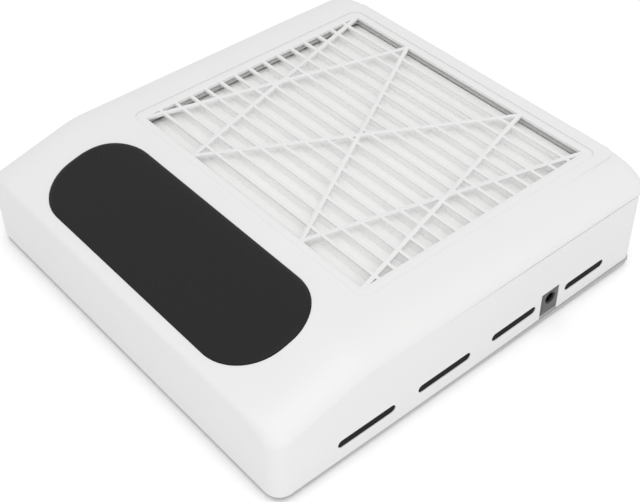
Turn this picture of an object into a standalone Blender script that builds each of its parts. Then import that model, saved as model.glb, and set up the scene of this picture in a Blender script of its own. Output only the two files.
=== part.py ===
"""Desktop nail dust collector: a shell with a sloping hand rest, a lift-out filter and a fan below it.

Units are metres, +Z is up, +X is to the user's right and +Y points away from the user.
The origin is the centre of the footprint, at the level of the table under the feet.
"""

import math

import bmesh
import bpy
from mathutils import Vector

# Overall body, measured from the underside of the base plate
WIDTH = 0.265
DEPTH = 0.268
DECK_HEIGHT = 0.064
CREASE_HEIGHT = 0.0495
FOOT_STAND = 0.002

# Clearances shared by every pair of neighbours
SEAT_GAP = 0.0003
SLIDE_GAP = 0.0006
OVERRUN = 0.004

# Top housing shell
WALL = 0.0026
CORNER_RADIUS = 0.009
FRONT_EDGE_RADIUS = 0.0025
BACK_EDGE_RADIUS = 0.0018
BEND_DISTANCE = 0.058
BEND_RADIUS = 0.060
SHOULDER_WIDTH = 0.0245
SHOULDER_HEIGHT = 0.0115
OVERHANG = 0.0012
OVERHANG_START_SHARE = 0.30
SEAM_STEP = 0.0009
SEAM_START_SHARE = 0.80
SHOULDER_STEPS = 6
CORNER_STEPS = 4
BEND_STEPS = 4
DECK_STEPS = 3

# Exhaust slots in both side walls, as shares of the depth
SLOT_HEIGHT = 0.0040
SLOT_CENTRE_HEIGHT = 0.0150
SLOT_START_SHARES = (0.145, 0.347, 0.549, 0.767)
SLOT_END_SHARES = (0.288, 0.488, 0.677, 0.888)

# Fine black screens behind the exhaust slots, one along each side wall
SCREEN_THICKNESS = 0.0010
SCREEN_LOW = 0.0095
SCREEN_HIGH = 0.0255
SCREEN_START_SHARE = 0.130
SCREEN_END_SHARE = 0.903

# Hand rest pad
PAD_SIDE_DISTANCE = 0.0360
PAD_FRONT_DISTANCE = 0.0085
PAD_PAST_BEND = 0.0112
PAD_RECESS = 0.0012
PAD_PROUD = 0.0014
PAD_EDGE_PROUD = 0.0004
PAD_EDGE_ROUND = 0.0030
PAD_STEPS = 16

# Filter cartridge
CARTRIDGE_SIDE_DISTANCE = 0.031
CARTRIDGE_PAST_BEND = 0.0244
CARTRIDGE_HEIGHT = 0.017
CARTRIDGE_BACK_DISTANCE = 0.0096
CARTRIDGE_CORNER = 0.006
CARTRIDGE_SINK = 0.0003
RIM_SIDE_BREADTH = 0.0064
RIM_END_BREADTH = 0.0051
GRILLE_THICKNESS = 0.002
GRILLE_GAPS = 15
GRILLE_RIB = 0.0021
GRILLE_DIAGONAL = 0.0027
GRILLE_SIDE_PANEL_SHARE = 0.25
SKIRT_WALL = 0.0018
GASKET_HEIGHT = 0.0032
PLEAT_COUNT = 30
PLEAT_WALL = 0.0012
TRAY_HEIGHT = 0.0019
TRAY_RING = 0.0075
TRAY_BAR = 0.003
TRAY_BARS_ACROSS = 6
TRAY_BARS_ALONG = 3

# Inner frame under the deck that the cartridge drops into
WELL_WALL = 0.002
LEDGE_BREADTH = 0.0045
LEDGE_CORNER = 0.0015
LEDGE_THICKNESS = 0.002
PLENUM_HEIGHT = 0.0075

# Base plate
BASE_FLOOR = 0.0024
BASE_RIM = 0.0030
BASE_INSET = 0.0004
BASE_CHAMFER = 0.0009
LIP_HEIGHT = 0.0035
LIP_WALL = 0.0016

# Screws that close the case, one in each post
POST_RADIUS = 0.0042
POST_EDGE_DISTANCE = 0.0165
POST_SHARES = (0.075, 0.519, 0.930)
BASE_BOSS_RADIUS = 0.0050
BASE_BOSS_HEIGHT = 0.0050
SCREW_SHANK = 0.0013
SCREW_HEAD = 0.0029
SCREW_HEAD_HEIGHT = 0.0016
SCREW_GRIP = 0.0095
SCREW_SINK = 0.0004

# Rubber feet
FOOT_RADIUS = 0.0070
FOOT_POCKET = 0.0009
FOOT_EDGE_DISTANCE = 0.034

# Fan deck: the partition with the fan's inlet
FAN_DECK_THICKNESS = 0.0020
FAN_DECK_FLANGE = 0.0030
INLET_RADIUS = 0.0400
INLET_FLARE = 0.0050
INLET_DEPTH = 0.0034
INLET_WALL = 0.0014
FLARE_KNEE_OUT_SHARE = 0.30
FLARE_KNEE_DOWN_SHARE = 0.60
DECK_POST_RADIUS = 0.0040
DECK_POST_INSET = 0.0110
DECK_SCREW_HEAD = 0.0026
DECK_SCREW_HEAD_HEIGHT = 0.0014
DECK_SCREW_LENGTH = 0.0080
DECK_SCREW_SHANK = 0.0012

# Fan guard
GUARD_THICKNESS = 0.0016
GUARD_RING = 0.0018
GUARD_MARGIN = 0.0045
GUARD_HUB = 0.010
GUARD_RINGS = 2
GUARD_SPOKES = 6
GUARD_EAR_RADIUS = 0.0040
GUARD_EARS = 3

# Impeller
IMPELLER_RADIUS = 0.052
IMPELLER_PLATE = 0.0015
IMPELLER_LIFT = 0.0062
BLADE_CLEARANCE = 0.0012
HUB_WALL = 0.0018
BLADE_COUNT = 13
BLADE_WALL = 0.0014
BLADE_SWEEP_DEGREES = 38
BLADE_CURVE_POWER = 0.85
BLADE_STEPS = 4
BLADE_INNER_SHARE = 0.60

# Motor
MOTOR_BOSS_HEIGHT = 0.0016
MOTOR_BOSS_RADIUS = 0.0260
MOTOR_PLATE_RADIUS = 0.0240
MOTOR_PLATE_THICKNESS = 0.0018
BEARING_TUBE_RADIUS = 0.0066
BEARING_TUBE_WALL = 0.0013
BEARING_HEIGHT = 0.0040
SHAFT_RADIUS = 0.0024
STATOR_RADIUS = 0.0165
STATOR_HEIGHT = 0.0090
STATOR_LIFT = 0.0028
STATOR_POLES = 6
STATOR_CORE_RADIUS = 0.0090
POLE_BREADTH = 0.0044
POLE_TIP = 0.0020
POLE_SPREAD_SHARE = 0.36
COIL_WALL = 0.0014
COLLAR_SHARE = 0.6
AIR_GAP = 0.0006
MAGNET_WALL = 0.0020
ROTOR_WALL = 0.0011
CUP_HEADROOM = 0.0026
NUT_RADIUS = 0.0052
NUT_HEIGHT = 0.0035
CLIP_WALL = 0.0013
CLIP_HEIGHT = 0.0007
MOTOR_SCREWS = 3
MOTOR_SCREW_HEAD = 0.0020
MOTOR_SCREW_SHANK = 0.0010

# Control board beside the power socket
BOARD_LENGTH = 0.040
BOARD_THICKNESS = 0.0014
BOARD_POST = 0.0008
BOARD_POST_RADIUS = 0.0026
BOARD_POST_INSET = 0.0036
BOARD_SCREW_HEAD = 0.0022
BOARD_SCREW_SHANK = 0.0010
CAPACITOR_RADIUS = 0.0050
CAPACITOR_HEIGHT = 0.0130
CAPACITOR_ROUND = 0.0010
CHIP_LENGTH = 0.0100
CHIP_BREADTH = 0.0064
CHIP_HEIGHT = 0.0022
PLUG_LENGTH = 0.0080
PLUG_BREADTH = 0.0056
PLUG_HEIGHT = 0.0060
PLUG_SPACING = 0.0016
BOARD_SCREW_CLEARANCE = 0.0024

# Power socket in the right wall
SOCKET_CENTRE_SHARE = 0.720
SOCKET_BREADTH = 0.0134
SOCKET_HEIGHT = 0.0160
SOCKET_LENGTH = 0.0120
SOCKET_BORE = 0.0030
SOCKET_BORE_DEPTH = 0.0095
SOCKET_BORE_RISE = 0.0107
SOCKET_FACE_SINK = 0.0006
SOCKET_PIN = 0.0010
SOCKET_PIN_RECESS = 0.0048
SOCKET_PIN_ROOT = 0.0014

# Power button and its latching switch in the left wall
BUTTON_RADIUS = 0.0050
BUTTON_HEIGHT = 0.0138
BUTTON_FACE_SINK = 0.0003
BUTTON_FLANGE = 0.0013
BUTTON_FLANGE_THICKNESS = 0.0012
BUTTON_TRAVEL = 0.0020
PLUNGER_SIDE = 0.0030
PLUNGER_REACH = 0.0032
PLUNGER_ENGAGE = 0.0020
SWITCH_SIDE = 0.0085
SWITCH_LENGTH = 0.0120
CRADLE_WALL = 0.0014
CRADLE_GRIP_SHARE = 0.62

# Leads inside the case
LEAD_RADIUS = 0.0013
LEAD_POINTS = 22
MOTOR_LEAD_SHARES = ((0.30, 0.10), (0.70, 0.85))
SWITCH_LEAD_LEFT_SHARES = ((0.82, 0.30), (0.60, 0.80), (0.25, 1.00))
SWITCH_LEAD_RIGHT_SHARES = ((0.25, 1.00), (0.72, 0.80))
SWITCH_LEAD_REAR_SHARE = 0.45

# Facets of the round pieces
FINE_FACETS = 24
ROUND_FACETS = 14
SMALL_FACETS = 8
FILLET_STEPS = 3
MERGE_DISTANCE = 0.0000001

# Levels and places worked out from the sizes above
BASE_Z = FOOT_STAND
FLOOR_TOP = BASE_Z + BASE_FLOOR
RIM_TOP = BASE_Z + BASE_RIM
HOUSING_BOTTOM = RIM_TOP + SEAT_GAP
DECK_Z = BASE_Z + DECK_HEIGHT
CREASE_Z = BASE_Z + CREASE_HEIGHT
FRONT_Y = -DEPTH / 2
BACK_Y = DEPTH / 2
SLOPE_ANGLE = math.atan2(DECK_Z - CREASE_Z, BEND_DISTANCE)
BEND_TANGENT = BEND_RADIUS * math.tan(SLOPE_ANGLE / 2)
SLOPE_LENGTH = BEND_DISTANCE / math.cos(SLOPE_ANGLE) - BEND_TANGENT
BEND_LENGTH = BEND_RADIUS * SLOPE_ANGLE

PAD_LENGTH = WIDTH - 2 * PAD_SIDE_DISTANCE
PAD_BREADTH = BEND_DISTANCE / math.cos(SLOPE_ANGLE) + PAD_PAST_BEND - PAD_FRONT_DISTANCE
CARTRIDGE_WIDTH = WIDTH - 2 * CARTRIDGE_SIDE_DISTANCE
CARTRIDGE_DEPTH = DEPTH - CARTRIDGE_BACK_DISTANCE - CARTRIDGE_PAST_BEND - BEND_DISTANCE
BOARD_SCREW_INSET = BOARD_SCREW_CLEARANCE + BOARD_SCREW_HEAD + BOARD_POST_INSET
BOARD_BREADTH = 2 * (PLUG_LENGTH + PLUG_SPACING / 2 + BOARD_SCREW_INSET)

CARTRIDGE_TOP = DECK_Z - CARTRIDGE_SINK
CARTRIDGE_BOTTOM = CARTRIDGE_TOP - CARTRIDGE_HEIGHT
CARTRIDGE_Y = BACK_Y - CARTRIDGE_BACK_DISTANCE - CARTRIDGE_DEPTH / 2
SKIRT_BOTTOM = CARTRIDGE_BOTTOM + TRAY_HEIGHT + SEAT_GAP
GRILLE_BOTTOM = CARTRIDGE_TOP - GRILLE_THICKNESS
GASKET_TOP = GRILLE_BOTTOM - SEAT_GAP
GASKET_BOTTOM = GASKET_TOP - GASKET_HEIGHT
PLEAT_TOP = GASKET_BOTTOM - SEAT_GAP
PLEAT_BOTTOM = CARTRIDGE_BOTTOM + TRAY_HEIGHT + SEAT_GAP

LEDGE_TOP = CARTRIDGE_BOTTOM - SEAT_GAP
LEDGE_BOTTOM = LEDGE_TOP - LEDGE_THICKNESS
FAN_DECK_TOP = LEDGE_BOTTOM - PLENUM_HEIGHT
FAN_DECK_BOTTOM = FAN_DECK_TOP - FAN_DECK_THICKNESS
WELL_BOTTOM = FAN_DECK_TOP + SEAT_GAP
WELL_TOP = DECK_Z - WALL - SEAT_GAP
WELL_WIDTH = CARTRIDGE_WIDTH + 2 * SEAT_GAP
WELL_DEPTH = CARTRIDGE_DEPTH + 2 * SEAT_GAP
FAN_DECK_WIDTH = WELL_WIDTH + 2 * (WELL_WALL + FAN_DECK_FLANGE)
FAN_DECK_DEPTH = WELL_DEPTH + 2 * WELL_WALL

IMPELLER_BOTTOM = FLOOR_TOP + IMPELLER_LIFT
BLADE_TOP = FAN_DECK_BOTTOM - INLET_DEPTH - BLADE_CLEARANCE
MOTOR_PLATE_BOTTOM = FLOOR_TOP + MOTOR_BOSS_HEIGHT + SEAT_GAP
MOTOR_PLATE_TOP = MOTOR_PLATE_BOTTOM + MOTOR_PLATE_THICKNESS
STATOR_BOTTOM = MOTOR_PLATE_TOP + STATOR_LIFT
STATOR_TOP = STATOR_BOTTOM + STATOR_HEIGHT
MAGNET_INNER = STATOR_RADIUS + AIR_GAP
ROTOR_INNER = MAGNET_INNER + MAGNET_WALL + SEAT_GAP
ROTOR_RADIUS = ROTOR_INNER + ROTOR_WALL
CUP_UNDER = STATOR_TOP + CUP_HEADROOM
CUP_TOP = CUP_UNDER + ROTOR_WALL
BEARING_TUBE_TOP = STATOR_TOP + COIL_WALL
HUB_TOP = CUP_TOP + SEAT_GAP + HUB_WALL
HUB_RADIUS = ROTOR_RADIUS + SEAT_GAP + HUB_WALL

SIDE_INNER_X = WIDTH / 2 - OVERHANG - WALL
SOCKET_Y = FRONT_Y + SOCKET_CENTRE_SHARE * DEPTH
BOARD_BOTTOM = FLOOR_TOP + BOARD_POST + SEAT_GAP
BOARD_TOP = BOARD_BOTTOM + BOARD_THICKNESS
SOCKET_BOTTOM = BOARD_TOP + SEAT_GAP
SOCKET_FACE_X = WIDTH / 2 - SOCKET_FACE_SINK
BOARD_RIGHT = SIDE_INNER_X - LIP_WALL - 2 * SEAT_GAP
BOARD_X = BOARD_RIGHT - BOARD_LENGTH / 2
BUTTON_Z = BASE_Z + BUTTON_HEIGHT
BUTTON_FACE_X = -WIDTH / 2 + BUTTON_FACE_SINK
FLANGE_X = -SIDE_INNER_X + SEAT_GAP
PLUNGER_X = FLANGE_X + BUTTON_FLANGE_THICKNESS + SEAT_GAP
SWITCH_X = PLUNGER_X + PLUNGER_REACH


def clear_scene():
    """Start from an empty file."""
    for thing in list(bpy.data.objects):
        bpy.data.objects.remove(thing)


def finish_material(name, colour, roughness, metallic=0.0):
    """A Principled material with one colour and gloss."""
    made = bpy.data.materials.new(name)
    made.use_nodes = True
    shader = made.node_tree.nodes["Principled BSDF"]
    shader.inputs["Base Color"].default_value = (*colour, 1.0)
    shader.inputs["Roughness"].default_value = roughness
    shader.inputs["Metallic"].default_value = metallic
    made.diffuse_color = (*colour, 1.0)
    return made


def add_object(name, bm, material=None):
    """Turn a bmesh into a linked object with its faces pointing out."""
    bmesh.ops.remove_doubles(bm, verts=bm.verts, dist=MERGE_DISTANCE)
    bmesh.ops.dissolve_degenerate(bm, edges=bm.edges, dist=MERGE_DISTANCE)
    bmesh.ops.recalc_face_normals(bm, faces=bm.faces)
    mesh = bpy.data.meshes.new(name)
    bm.to_mesh(mesh)
    bm.free()
    made = bpy.data.objects.new(name, mesh)
    bpy.context.scene.collection.objects.link(made)
    if material:
        mesh.materials.append(material)
    return made


def prism(name, outline, low, high, material=None, axis="Z"):
    """Extrude a closed outline between two levels along an axis."""
    bm = bmesh.new()
    place = {
        "X": lambda a, b: (low, a, b),
        "Y": lambda a, b: (a, low, b),
        "Z": lambda a, b: (a, b, low),
    }[axis]
    face = bm.faces.new([bm.verts.new(place(a, b)) for a, b in outline])
    grown = bmesh.ops.extrude_face_region(bm, geom=[face])
    direction = {"X": Vector((1, 0, 0)), "Y": Vector((0, 1, 0)), "Z": Vector((0, 0, 1))}[axis]
    moved = [v for v in grown["geom"] if isinstance(v, bmesh.types.BMVert)]
    bmesh.ops.translate(bm, verts=moved, vec=direction * (high - low))
    return add_object(name, bm, material)


def block(name, low, high, material=None):
    """A plain box between two corners."""
    outline = [(low[0], low[1]), (high[0], low[1]), (high[0], high[1]), (low[0], high[1])]
    return prism(name, outline, low[2], high[2], material)


def turned(name, profile, facets, material=None, centre=(0.0, 0.0)):
    """Spin a closed profile of (radius, height) points about a vertical axis."""
    bm = bmesh.new()
    points = [bm.verts.new((centre[0] + radius, centre[1], height)) for radius, height in profile]
    edges = [bm.edges.new((a, b)) for a, b in zip(points, points[1:] + points[:1])]
    bmesh.ops.spin(
        bm,
        geom=points + edges,
        cent=(*centre, 0),
        axis=(0, 0, 1),
        angle=math.tau,
        steps=facets,
        use_merge=True,
    )
    return add_object(name, bm, material)


def cylinder(name, radius, low, high, facets, material=None, centre=(0.0, 0.0)):
    """An upright cylinder, as an extruded regular outline."""
    return prism(name, circle(radius, facets, centre), low, high, material)


def loft(name, loops, material=None):
    """Join closed loops of equal length with triangles, so that every face is flat, and cap both ends."""
    bm = bmesh.new()
    rings = [[bm.verts.new(p) for p in loop] for loop in loops]
    for first, second in zip(rings, rings[1:]):
        for i in range(len(first)):
            j = (i + 1) % len(first)
            bm.faces.new((first[i], first[j], second[j], second[i]))
    bm.faces.new(rings[0])
    bm.faces.new(rings[-1])
    bmesh.ops.triangulate(bm, faces=bm.faces)
    return add_object(name, bm, material)


def combine(target, tools, operation):
    """Apply exact Booleans with each tool in turn, and take the tools away."""
    for tool in tools:
        step = target.modifiers.new(operation, "BOOLEAN")
        step.operation = operation
        step.solver = "EXACT"
        step.object = tool
    bpy.context.view_layer.update()
    graph = bpy.context.evaluated_depsgraph_get()
    result = bpy.data.meshes.new_from_object(target.evaluated_get(graph))
    target.modifiers.clear()
    target.data = result
    for tool in tools:
        bpy.data.objects.remove(tool)
    return target


def fuse(target, *tools):
    """Boolean union."""
    return combine(target, tools, "UNION")


def cut(target, *tools):
    """Boolean difference."""
    return combine(target, tools, "DIFFERENCE")


def carry(empty_name, place, pieces):
    """Parent pieces to an empty that stands on the axis of their joint."""
    empty = bpy.data.objects.new(empty_name, None)
    empty.location = place
    bpy.context.scene.collection.objects.link(empty)
    bpy.context.view_layer.update()
    for piece in pieces:
        piece.parent = empty
        piece.matrix_parent_inverse = empty.matrix_world.inverted()


def circle(radius, facets, centre=(0.0, 0.0)):
    """Points of a regular polygon around a centre."""
    return [
        (
            centre[0] + radius * math.cos(math.tau * i / facets),
            centre[1] + radius * math.sin(math.tau * i / facets),
        )
        for i in range(facets)
    ]


def rounded_rectangle(width, depth, radius, centre=(0.0, 0.0), steps=FILLET_STEPS):
    """Outline of a rectangle with round corners."""
    points = []
    for quarter, (sx, sy) in enumerate(((1, 1), (-1, 1), (-1, -1), (1, -1))):
        for i in range(steps + 1):
            angle = math.radians(90) * (quarter + i / steps)
            points.append(
                (
                    centre[0] + sx * (width / 2 - radius) + radius * math.cos(angle),
                    centre[1] + sy * (depth / 2 - radius) + radius * math.sin(angle),
                )
            )
    return points


def stadium(start, end, height, centre_z, steps=FILLET_STEPS):
    """Outline of a slot with round ends, in the plane of the side wall."""
    radius = height / 2
    points = []
    for end_y, turn in ((end - radius, -90), (start + radius, 90)):
        for i in range(2 * steps + 1):
            angle = math.radians(turn + 90 * i / steps)
            points.append((end_y + radius * math.cos(angle), centre_z + radius * math.sin(angle)))
    return points


def smooth_step(share):
    """0 to 1 with soft ends."""
    share = min(1.0, max(0.0, share))
    return share * share * (3 - 2 * share)


def quarter_round(distance, radius):
    """How far a round edge of this radius has fallen at a distance from the wall."""
    if distance >= radius:
        return 0.0
    return radius - math.sqrt(max(0.0, radius**2 - (radius - distance) ** 2))


def roof(distance):
    """Height of the top surface on the centreline, at a distance behind the front wall."""
    rise = math.tan(SLOPE_ANGLE)
    arc_end = BEND_DISTANCE + BEND_TANGENT
    arc_start = BEND_DISTANCE - BEND_TANGENT * math.cos(SLOPE_ANGLE)
    if distance < arc_start:
        height = CREASE_Z + distance * rise
    elif distance < arc_end:
        height = DECK_Z - BEND_RADIUS + math.sqrt(BEND_RADIUS**2 - (arc_end - distance) ** 2)
    else:
        height = DECK_Z
    return height


def stations(inset):
    """Distances from the front wall at which the shell's cross-section is drawn."""
    quarter = [1 - math.cos(math.radians(90) * i / CORNER_STEPS) for i in range(CORNER_STEPS + 1)]
    arc_end = BEND_DISTANCE + BEND_TANGENT
    arc_start = BEND_DISTANCE - BEND_TANGENT * math.cos(SLOPE_ANGLE)
    front = [inset + CORNER_RADIUS * q for q in quarter]
    bend = [arc_start + (arc_end - arc_start) * i / BEND_STEPS for i in range(BEND_STEPS + 1)]
    rear_start = DEPTH - inset - CORNER_RADIUS
    flat = [arc_end + (rear_start - arc_end) * i / DECK_STEPS for i in range(1, DECK_STEPS)]
    rear = [DEPTH - inset - CORNER_RADIUS * q for q in reversed(quarter)]
    return front + bend + flat + rear


def half_width(distance, inset):
    """Half the body's width at a distance from the front, with its round corners in plan."""
    reach = min(distance - inset, DEPTH - inset - distance)
    return WIDTH / 2 - inset - quarter_round(max(0.0, reach), CORNER_RADIUS)


def shell_loop(distance, inset):
    """One closed cross-section of the body: walls, overhanging shoulders and deck."""
    front_drop = quarter_round(max(0.0, distance - inset), FRONT_EDGE_RADIUS)
    back_drop = quarter_round(max(0.0, DEPTH - inset - distance), BACK_EDGE_RADIUS)
    top = roof(distance) - front_drop - back_drop
    half = half_width(distance, inset)
    rear_share = distance / DEPTH
    lean = OVERHANG * smooth_step((rear_share - OVERHANG_START_SHARE) / (1 - OVERHANG_START_SHARE))
    step = SEAM_STEP * smooth_step((rear_share - SEAM_START_SHARE) / (1 - SEAM_START_SHARE))
    shoulder_foot = top - SHOULDER_HEIGHT
    if inset:
        top -= inset
        lean, step = OVERHANG, 0.0
    radius_x = SHOULDER_WIDTH - inset
    radius_z = top - step - shoulder_foot
    bottom = HOUSING_BOTTOM - (OVERRUN if inset else 0.0)
    side = [(half - (OVERHANG if inset else 0.0), bottom), (half - lean, shoulder_foot)]
    if not inset:
        side.append((half, shoulder_foot))
    outer = half - (OVERHANG if inset else 0.0)
    for i in range(1, SHOULDER_STEPS + 1):
        angle = math.radians(90) * i / SHOULDER_STEPS
        x = outer - radius_x + radius_x * math.cos(angle)
        side.append((x, shoulder_foot + radius_z * math.sin(angle)))
    if not inset:
        side.append((outer - radius_x, top))
    y = FRONT_Y + distance
    right = [(x, y, z) for x, z in side]
    return right + [(-x, y, z) for x, y, z in reversed(right)]


def surface_height(x, y):
    """Height of the outer surface over a point of the plan, away from the round corners."""
    distance = y - FRONT_Y
    top = roof(distance)
    out = abs(x) - (WIDTH / 2 - SHOULDER_WIDTH)
    if out <= 0:
        return top
    share = min(1.0, out / SHOULDER_WIDTH)
    return top - SHOULDER_HEIGHT * (1 - math.sqrt(1 - share**2))


def on_slope(along, lift):
    """Point in the YZ plane at a distance along the top surface from the front crease."""
    if along < SLOPE_LENGTH:
        angle = SLOPE_ANGLE
        y = along * math.cos(angle)
        z = CREASE_Z + along * math.sin(angle)
    elif along < SLOPE_LENGTH + BEND_LENGTH:
        angle = SLOPE_ANGLE - (along - SLOPE_LENGTH) / BEND_RADIUS
        y = BEND_DISTANCE + BEND_TANGENT - BEND_RADIUS * math.sin(angle)
        z = DECK_Z - BEND_RADIUS + BEND_RADIUS * math.cos(angle)
    else:
        angle = 0.0
        y = BEND_DISTANCE + BEND_TANGENT + along - SLOPE_LENGTH - BEND_LENGTH
        z = DECK_Z
    return FRONT_Y + y - lift * math.sin(angle), z + lift * math.cos(angle)


def pad_loops(growth, under, edge, crown):
    """Cross-sections of the hand rest, from its front edge to its back edge."""
    radius = PAD_BREADTH / 2 + growth
    straight = (PAD_LENGTH - PAD_BREADTH) / 2
    middle = PAD_FRONT_DISTANCE + PAD_BREADTH / 2
    loops = []
    for i in range(PAD_STEPS + 1):
        angle = math.radians(180) * i / PAD_STEPS
        along = middle - radius * math.cos(angle)
        half = straight + radius * math.sin(angle)
        depth_in = radius - abs(along - middle)
        share = min(1.0, depth_in / PAD_EDGE_ROUND)
        lift = edge + (crown - edge) * math.sin(math.radians(90) * share)
        rounding = PAD_EDGE_ROUND
        side = [(half, under), (half, edge), (half - rounding, lift)]
        points = []
        for x, height in side:
            y, z = on_slope(along, height)
            points.append((x, y, z))
        loops.append(points + [(-x, y, z) for x, y, z in reversed(points)])
    return loops


def post_places():
    """Plan positions of the six posts that take the case screws."""
    x = WIDTH / 2 - POST_EDGE_DISTANCE
    return [(side * x, FRONT_Y + share * DEPTH) for side in (-1, 1) for share in POST_SHARES]


def fan_deck_post_places():
    """Plan positions of the four posts under the fan deck."""
    x = FAN_DECK_WIDTH / 2 - DECK_POST_INSET
    y = FAN_DECK_DEPTH / 2 - DECK_POST_INSET
    return [(sx * x, CARTRIDGE_Y + sy * y) for sx in (-1, 1) for sy in (-1, 1)]


def motor_screw_places():
    """Plan positions of the motor plate's screws."""
    radius = MOTOR_PLATE_RADIUS - 2 * MOTOR_SCREW_SHANK
    return circle(radius, MOTOR_SCREWS, (0.0, CARTRIDGE_Y))


def board_post_places():
    """Plan positions of the control board's posts."""
    x = BOARD_LENGTH / 2 - BOARD_POST_INSET
    y = BOARD_BREADTH / 2 - BOARD_POST_INSET
    return [(BOARD_X + sx * x, SOCKET_Y + sy * y) for sx, sy in ((-1, -1), (-1, 1), (1, 1))]


def foot_places():
    """Plan positions of the rubber feet."""
    x = WIDTH / 2 - FOOT_EDGE_DISTANCE
    y = DEPTH / 2 - FOOT_EDGE_DISTANCE
    return [(sx * x, sy * y) for sx in (-1, 1) for sy in (-1, 1)]


def guard_ear_places(radius):
    """Plan positions of the guard's screw ears."""
    return circle(radius, GUARD_EARS, (0.0, CARTRIDGE_Y))


def screws(name, places, head, shank, head_z, material, up=False):
    """Screws with pan heads at head_z; head and shank are (radius, height) and (radius, length)."""
    sign = 1 if up else -1
    head_radius, head_height = head
    shank_radius, length = shank
    shank_z = head_z + sign * head_height
    tip = shank_z + sign * length
    profile = [
        (0.0, head_z),
        (head_radius - head_height / 3, head_z),
        (head_radius, head_z + sign * head_height / 3),
        (head_radius, shank_z),
        (shank_radius, shank_z),
        (shank_radius, tip - sign * shank_radius),
        (0.0, tip),
    ]
    return [
        turned(f"{name}_{i}", profile, SMALL_FACETS, material, centre=place)
        for i, place in enumerate(places, 1)
    ]


def build_top_housing(material):
    """The moulded hood: lofted shell, screw posts, the deck's opening, slots and the pad's recess."""
    hood = loft("top_housing", [shell_loop(d, 0.0) for d in stations(0.0)], material)
    cavity = loft("cavity", [shell_loop(d, WALL) for d in stations(WALL)])
    cut(hood, cavity)

    posts = []
    for x, y in post_places():
        reach = abs(x) + POST_RADIUS
        top = min(surface_height(reach, y + s * POST_RADIUS) for s in (-1, 1)) - WALL / 2
        bottom = FLOOR_TOP + BASE_BOSS_HEIGHT + SEAT_GAP
        posts.append(cylinder("post", POST_RADIUS, bottom, top, SMALL_FACETS, centre=(x, y)))
    fuse(hood, *posts)

    pocket = rounded_rectangle(
        WELL_WIDTH, WELL_DEPTH, CARTRIDGE_CORNER + SEAT_GAP, (0.0, CARTRIDGE_Y)
    )
    cutters = [prism("pocket", pocket, WELL_TOP - OVERRUN, DECK_Z + OVERRUN)]
    slot_z = BASE_Z + SLOT_CENTRE_HEIGHT
    for start, end in zip(SLOT_START_SHARES, SLOT_END_SHARES):
        outline = stadium(FRONT_Y + start * DEPTH, FRONT_Y + end * DEPTH, SLOT_HEIGHT, slot_z)
        for side in (-1, 1):
            near, far = SIDE_INNER_X - OVERRUN, WIDTH / 2 + OVERRUN
            low, high = (near, far) if side > 0 else (-far, -near)
            cutters.append(prism("slot", outline, low, high, axis="X"))
    notch_half = SOCKET_BREADTH / 2 + SEAT_GAP
    cutters.append(
        block(
            "socket_notch",
            (SIDE_INNER_X - OVERRUN, SOCKET_Y - notch_half, HOUSING_BOTTOM - OVERRUN),
            (WIDTH / 2 + OVERRUN, SOCKET_Y + notch_half, SOCKET_BOTTOM + SOCKET_HEIGHT + SEAT_GAP),
        )
    )
    hole = circle(BUTTON_RADIUS + SEAT_GAP, ROUND_FACETS, (SOCKET_Y, BUTTON_Z))
    cutters.append(
        prism("button_hole", hole, -WIDTH / 2 - OVERRUN, -SIDE_INNER_X + OVERRUN, axis="X")
    )
    for x, y in post_places():
        bottom = FLOOR_TOP + BASE_BOSS_HEIGHT
        pilot = SCREW_SHANK + SEAT_GAP
        top = bottom + SEAT_GAP + SCREW_GRIP
        cutters.append(cylinder("pilot", pilot, bottom - OVERRUN, top, SMALL_FACETS, centre=(x, y)))
    cut(hood, *cutters)
    return cut(hood, loft("pad_recess", pad_loops(SEAT_GAP, -PAD_RECESS, OVERRUN, OVERRUN)))


def build_filter_well(material):
    """Inner frame held between the deck and the fan deck, with the ledge that carries the cartridge."""
    centre = (0.0, CARTRIDGE_Y)
    corner = CARTRIDGE_CORNER + SEAT_GAP
    outline = rounded_rectangle(
        WELL_WIDTH + 2 * WELL_WALL, WELL_DEPTH + 2 * WELL_WALL, corner + WELL_WALL, centre
    )
    well = prism("filter_well", outline, WELL_BOTTOM, WELL_TOP, material)
    pocket = rounded_rectangle(WELL_WIDTH, WELL_DEPTH, corner, centre)
    inlet = rounded_rectangle(
        WELL_WIDTH - 2 * LEDGE_BREADTH, WELL_DEPTH - 2 * LEDGE_BREADTH, LEDGE_CORNER, centre
    )
    return cut(
        well,
        prism("pocket", pocket, LEDGE_TOP, WELL_TOP + OVERRUN),
        prism("ledge_hole", inlet, LEDGE_BOTTOM - OVERRUN, LEDGE_TOP + OVERRUN),
        prism("lower_pocket", pocket, WELL_BOTTOM - OVERRUN, LEDGE_BOTTOM),
    )


def build_exhaust_screens(material):
    """Upright strips behind the slots, bridging over the power socket and over the button."""
    x = SIDE_INNER_X - SEAT_GAP
    start, end = FRONT_Y + SCREEN_START_SHARE * DEPTH, FRONT_Y + SCREEN_END_SHARE * DEPTH
    socket_half = SOCKET_BREADTH / 2 + 2 * SEAT_GAP
    socket_top = SOCKET_BOTTOM + SOCKET_HEIGHT + 2 * SEAT_GAP
    button_half = BUTTON_RADIUS + BUTTON_FLANGE + SLIDE_GAP
    button_top = BUTTON_Z + button_half
    for name, side, half, top in (
        ("exhaust_screen_right", 1, socket_half, socket_top),
        ("exhaust_screen_left", -1, button_half, button_top),
    ):
        low, high = sorted((side * x, side * (x - SCREEN_THICKNESS)))
        strip = block(name, (low, start, SCREEN_LOW), (high, end, SCREEN_HIGH), material)
        gate_low = (low - OVERRUN, SOCKET_Y - half, SCREEN_LOW - OVERRUN)
        cut(strip, block("gate", gate_low, (high + OVERRUN, SOCKET_Y + half, top)))


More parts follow.
